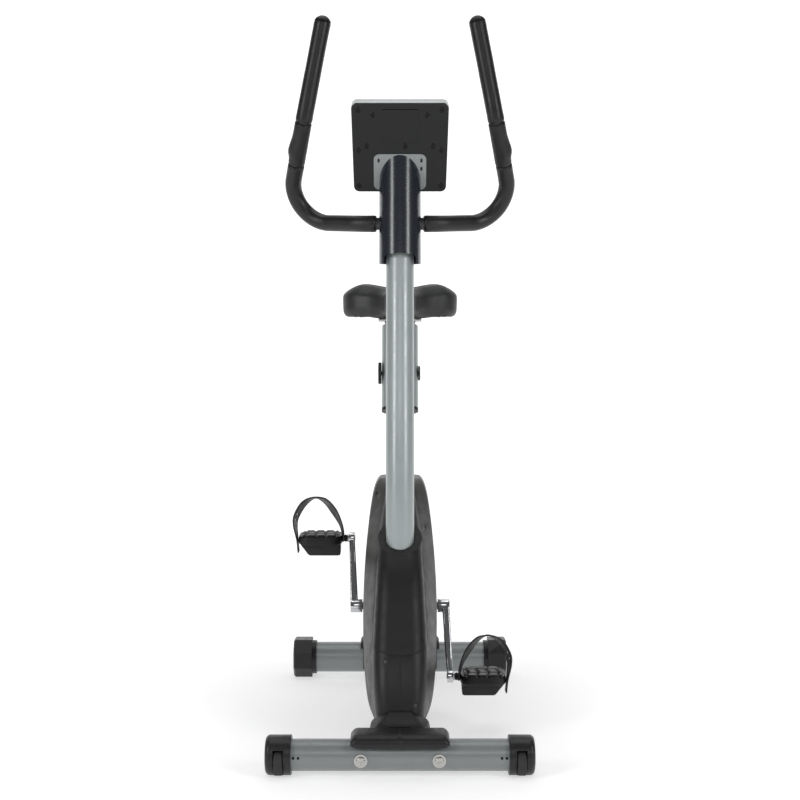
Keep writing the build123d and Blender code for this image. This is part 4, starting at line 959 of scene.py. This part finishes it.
def make_chin():
    """The ramp that carries the housing's prow down onto the front cover."""
    back = 74.0
    across = 24
    rows, vertices, faces = [], [], []
    for z, front, half in CHIN_RINGS:
        row = []
        for k in range(across + 1):
            w = 2 * k / across - 1
            x = half * w
            depth = front + (back - front) * max(0.0, abs(w) - 0.78) ** 1.5 / 0.22**1.5 * 0.75
            depth += 0.5 * exp(-((x / 1.2) ** 2))
            row.append((x, depth, z))
        row += [(half, back, z - 1.0), (-half, back, z - 1.0)]
        rows.append(range(len(vertices), len(vertices) + len(row)))
        vertices += [at(*p) for p in row]
    faces += joined_rings(rows)
    faces.append(tuple(rows[0]))
    faces.append(tuple(reversed(rows[-1])))
    piece = mesh_object("housing_chin", vertices, faces, "black_plastic", "frame")
    piece.data.set_sharp_from_angle(angle=radians(50))


CONSOLE_SCREWS = [(x, y) for x in (-85, 85) for y in (-83, -4, 83)]
CONSOLE_SCREWS += [(-55, 72), (55, 72), (-68, 5), (68, 5), (-11, 5)]
CONSOLE_TILT = radians(29.0)
CONSOLE_HALF_HEIGHT = 96.0
PLATE_TO_BOTTOM = 74.0
CONSOLE_UP = Vector((0, -sin(CONSOLE_TILT), cos(CONSOLE_TILT)))
CONSOLE_CENTRE = Vector((0.0, 350.0, 1174.5)) + CONSOLE_UP * (CONSOLE_HALF_HEIGHT - PLATE_TO_BOTTOM)


def make_recesses():
    """Raised screw bosses on the back of the console, each with a near-black disc in its counterbore: painted
    shade for the deep screw hole.
    """
    across = Vector((-1, 0, 0))
    up = CONSOLE_UP
    out = Vector((0, -cos(CONSOLE_TILT), -sin(CONSOLE_TILT)))
    rings = ((7.0, -0.3), (6.6, 0.5), (5.4, 0.6), (4.9, 0.15), (4.4, 0.12))
    vertices, faces, holes, hole_faces = [], [], [], []
    sides = 28
    for x, y in CONSOLE_SCREWS:
        centre = CONSOLE_CENTRE + across * x + up * y
        base = len(vertices)
        for radius, proud in rings:
            for k in range(sides):
                angle = 2 * pi * k / sides
                p = centre + (across * cos(angle) + up * sin(angle)) * radius + out * proud
                vertices.append(at(p.x, p.y, p.z))
        for r in range(len(rings) - 1):
            for k in range(sides):
                j = (k + 1) % sides
                a, b = base + r * sides, base + (r + 1) * sides
                faces.append((a + k, a + j, b + j, b + k))
        # The near-black disc with its cross in each counterbore is painted shade for the deep hole.
        hole = len(holes)
        for radius, proud in ((5.2, 0.22), (3.1, 0.2), (2.5, 0.45)):
            for k in range(sides):
                angle = 2 * pi * k / sides
                cross = 0.7 if radius < 3 and min(abs(cos(angle)), abs(sin(angle))) < 0.25 else 1.0
                p = centre + (across * cos(angle) + up * sin(angle)) * radius * cross + out * proud
                holes.append(at(p.x, p.y, p.z))
        for r in range(2):
            for k in range(sides):
                j = (k + 1) % sides
                a, b = hole + r * sides, hole + (r + 1) * sides
                hole_faces.append((a + k, a + j, b + j, b + k))
        hole_faces.append(tuple(range(hole + 2 * sides, hole + 3 * sides)))
    mesh_object("console_screw_bosses", vertices, faces, "gloss_black", "frame")
    mesh_object("console_screw_well_shade", holes, hole_faces, "painted_hole_shade", "frame")


def make_console_trim():
    """The bright band that wraps the edge of the console in front of its back shell."""
    up = CONSOLE_UP
    inward = Vector((0, cos(CONSOLE_TILT), sin(CONSOLE_TILT)))
    half_top, half_bottom, half = 99.3, 95.8, 96.3
    corners = [(0, half), (half_top, half), (half_bottom, -half), (0, -half)]
    right = filleted_path([Vector((x, y, 0)) for x, y in corners], (12, 12), 3.0)
    loop = [(p.x, p.y) for p in right] + [(-p.x, p.y) for p in reversed(right[1:-1])]
    profile = ((-0.9, 5.0), (-0.1, 5.2), (0.0, 6.0), (0.0, 20.0), (-0.1, 20.6), (-0.9, 20.8))
    vertices, faces = [], []
    for x, y in loop:
        radial = Vector((x, y)).normalized()
        for lift, deep in profile:
            p = CONSOLE_CENTRE + Vector((1, 0, 0)) * (x + radial.x * lift)
            p = p + up * (y + radial.y * lift) + inward * deep
            vertices.append(at(p.x, p.y, p.z))
    width, count = len(profile), len(loop)
    for i in range(count):
        j = (i + 1) % count
        for k in range(width):
            m = (k + 1) % width
            faces.append((i * width + k, i * width + m, j * width + m, j * width + k))
    piece = mesh_object("console_trim", vertices, faces, "silver_plastic", "frame")
    piece.data.set_sharp_from_angle(angle=radians(50))


def make_rivets():
    """Blind rivets that hold the caps on the front tube, coloured with the near-black hole shade: painted
    shade for the dark holes seen there.
    """
    for side, label in ((1, "left"), (-1, "right")):
        for number, x in enumerate((188.0, 197.0), start=1):
            place = Vector((side * x, -29.2, 38.0))
            # Coloured near-black: painted shade of the holes.
            screw_head(f"cap_rivet_{label}_{number}", place, Vector((0, -1, 0.05)), 2.6, "painted_hole_shade", "frame")


# ---- saddle ----
SADDLE_TOP = 920.0
SADDLE_LOW = 846.0
PAN_TOP = 866.5
SADDLE_CORNERS = ((0, 505), (33, 505), (47, 585), (135.5, 625), (135.5, 762), (50, 762), (0, 754))
SADDLE_RADII = (28, 70, 62, 58, 60)


def saddle_outline():
    """The plan of the saddle as a closed loop, the same as the CAD's."""
    right = filleted_path([Vector((x, d, 0)) for x, d in SADDLE_CORNERS], SADDLE_RADII, 4.0)
    left = [Vector((-p.x, p.y, 0)) for p in reversed(right[1:-1])]
    return np.array([(p.x, p.y) for p in right + left])


def edge_distance(points, loop):
    """Distance of each point from the outline."""
    start = loop[None, :, :]
    step = np.roll(loop, -1, axis=0)[None, :, :] - start
    t = ((points[:, None, :] - start) * step).sum(2) / np.maximum((step**2).sum(2), 1e-9)
    nearest = start + np.clip(t, 0, 1)[:, :, None] * step
    return np.linalg.norm(points[:, None, :] - nearest, axis=2).min(1)


def saddle_heights(points, inside):
    """Top and underside heights for plan points; inside is their distance from the outline."""
    x, depth = np.abs(points[:, 0]), points[:, 1]
    wide = np.clip((depth - 585.0) / 70.0, 0, 1)
    wide = wide * wide * (3 - 2 * wide)
    rim = 889.0 - 3.0 * wide
    lobe = np.exp(-(((x - 80.0) / 44.0) ** 2)) * wide
    channel = np.exp(-((x / 20.0) ** 2)) * (0.5 + 0.5 * wide)
    rear_lift = 3.0 * np.clip((depth - 690.0) / 50.0, 0, 1)
    nose_lift = 2.0 * np.clip((560.0 - depth) / 60.0, 0, 1)
    crown = 907.0 + 9.5 * lobe - 4.0 * channel + rear_lift * wide + nose_lift
    reach = 24.0 + 14.0 * wide
    q = np.clip(inside / reach, 0, 1)
    top = rim + (np.minimum(crown, SADDLE_TOP) - rim) * np.sqrt(1 - (1 - q) ** 2)
    low = SADDLE_LOW + 8.0 * (1 - wide)
    roll = np.clip(inside / (9.0 + 5.0 * wide), 0, 1)
    skirt = rim - (rim - low) * np.sqrt(1 - (1 - roll) ** 2)
    back = np.clip((inside - 15.0 - 3.0 * wide) / 6.0, 0, 1)
    under = skirt + (PAN_TOP - skirt) * back * back * (3 - 2 * back)
    return top, under


def make_saddle():
    loop = saddle_outline()
    count = len(loop)
    centre = np.stack([np.zeros(count), np.clip(loop[:, 1], 540.0, 690.0)], axis=1)
    shares = (0.0, 0.012, 0.03, 0.055, 0.09, 0.13, 0.18, 0.24, 0.31, 0.39, 0.48, 0.58, 0.69, 0.81, 0.93)
    inset = 0.02
    tops, unders = [], []
    for share in shares:
        f = inset + share * (1 - inset)
        ring = loop * (1 - f) + centre * f
        top, under = saddle_heights(ring, edge_distance(ring, loop))
        tops.append([at(x, d, z) for (x, d), z in zip(ring, top)])
        unders.append([at(x, d, z) for (x, d), z in zip(ring, under)])
    rings = tops[::-1] + unders[1:]
    vertices = [point for ring in rings for point in ring]
    faces = []
    for i in range(len(rings) - 1):
        for k in range(count):
            j = (k + 1) % count
            faces.append((i * count + k, i * count + j, (i + 1) * count + j, (i + 1) * count + k))
    half = count // 2
    for base in (0, (len(rings) - 1) * count):
        for k in range(half):
            quad = (base + k, base + k + 1, base + (count - k - 1) % count, base + (count - k) % count)
            corners = list(dict.fromkeys(quad))
            faces.append(tuple(corners if base else corners[::-1]))
    piece = mesh_object("saddle_cover", vertices, faces, "vinyl", "saddle", False)
    tidy = bmesh.new()
    tidy.from_mesh(piece.data)
    bmesh.ops.recalc_face_normals(tidy, faces=tidy.faces)
    tidy.to_mesh(piece.data)
    tidy.free()
    piece.data.shade_smooth()
    inflate(piece, 0.006)
    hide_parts("saddle_pad")
    make_seams(piece)
    return piece


def make_seams(cover):
    """Piped seams laid on the finished cover, where its panels meet."""
    tree = BVHTree.FromObject(cover, bpy.context.evaluated_depsgraph_get())
    for side, label in ((1, "left"), (-1, "right")):
        plan = ((10, 524), (19, 560), (25, 600), (42, 632), (72, 655), (92, 690), (94, 722), (84, 748))
        points = []
        for x, depth in smooth_curve(plan, 110):
            above = at(side * x, depth, 960)
            hit = tree.ray_cast(above, Vector((0, 0, -1)))[0]
            if hit is not None:
                points.append(Vector((hit.x / MM, hit.y / MM + CENTRE_SHIFT, hit.z / MM + 0.1)))
        total = len(points)

        def radius_at(i, direction):
            return 0.95 * min(1.0, 0.3 + min(i, total - 1 - i) / 5.0) + 0.12 * sin(i * 2.6)

        vertices, faces = sweep_rings(points, radius_at, 10)
        mesh_object(f"saddle_seam_{label}", vertices, faces, "stitch", "saddle")


def inflate(piece, cap):
    """Swells the padded shape as cloth over foam, with each point's move capped."""
    remesh = piece.modifiers.new("remesh", "REMESH")
    remesh.mode = "VOXEL"
    remesh.voxel_size = 0.005
    apply_modifiers(piece)
    start = np.array([v.co for v in piece.data.vertices])
    cloth = piece.modifiers.new("cloth", "CLOTH")
    cloth.settings.use_pressure = True
    cloth.settings.uniform_pressure_force = 4.0
    cloth.settings.tension_stiffness = 25.0
    cloth.settings.bending_stiffness = 4.0
    cloth.settings.effector_weights.gravity = 0.0
    cloth.point_cache.frame_start = 1
    cloth.point_cache.frame_end = 20
    scene = bpy.context.scene
    for step in range(1, 21):
        scene.frame_set(step)
    apply_modifiers(piece)
    moved = np.array([v.co for v in piece.data.vertices])
    travel = moved - start
    length = np.linalg.norm(travel, axis=1, keepdims=True)
    travel *= np.minimum(1.0, cap / np.maximum(length, 1e-9))
    piece.data.vertices.foreach_set("co", (start + travel).astype(np.float32).ravel())
    piece.data.update()
    scene.frame_set(1)
    piece.data.shade_smooth()
    subdivide(piece, 1)
    apply_modifiers(piece)


# ---- studio ----
def make_stage():
    """A paper sweep: flat floor that curves up into a wall."""
    width = 7.0
    floor_front = -4.0
    curve_start = 2.6
    curve_radius = 1.6
    height = 5.0
    profile = [(floor_front, 0.0), (curve_start, 0.0)]
    for i in range(1, 17):
        a = pi / 2 * i / 16
        profile.append((curve_start + curve_radius * sin(a), curve_radius * (1 - cos(a))))
    profile.append((curve_start + curve_radius, height))
    vertices = [(x, y, z) for x in (-width, width) for y, z in profile]
    count = len(profile)
    faces = [(i, i + 1, count + i + 1, count + i) for i in range(count - 1)]
    data = bpy.data.meshes.new("backdrop")
    data.from_pydata(vertices, [], faces)
    data.shade_smooth()
    data.materials.append(MATERIALS["backdrop"])
    floor = bpy.data.objects.new("backdrop", data)
    bpy.context.scene.collection.objects.link(floor)


def area_light(name, location, target, size, power):
    data = bpy.data.lights.new(name, "AREA")
    data.shape = "RECTANGLE"
    data.size, data.size_y = size
    data.energy = power
    light = bpy.data.objects.new(name, data)
    light.location = location
    light.rotation_euler = (Vector(target) - Vector(location)).to_track_quat("-Z", "Y").to_euler()
    bpy.context.scene.collection.objects.link(light)


def make_lights():
    area_light("softbox_left", (-2.1, -1.9, 1.7), (0, 0, 0.9), (0.6, 2.0), 32)
    area_light("softbox_right", (2.1, -1.9, 1.7), (0, 0, 0.9), (0.6, 2.0), 30)
    area_light("overhead", (0, 0.4, 3.2), (0, 0.1, 0), (2.0, 2.0), 22)
    area_light("front_fill", (0, -3.6, 2.0), (0, 0, 0.8), (1.6, 1.0), 12)
    world = bpy.data.worlds.new("studio")
    world.use_nodes = True
    world.node_tree.nodes["Background"].inputs["Color"].default_value = (0.97, 0.985, 1.0, 1.0)
    world.node_tree.nodes["Background"].inputs["Strength"].default_value = 0.12
    bpy.context.scene.world = world
    bpy.context.scene.view_settings.view_transform = "Standard"


make_camera()
make_materials()
for node_name in FINISHES:
    finish_node(node_name)
make_grips()
make_pedal(1)
make_pedal(-1)
make_pillow()
make_chin()
make_recesses()
make_console_trim()
make_rivets()
make_saddle()
make_lights()
make_stage()
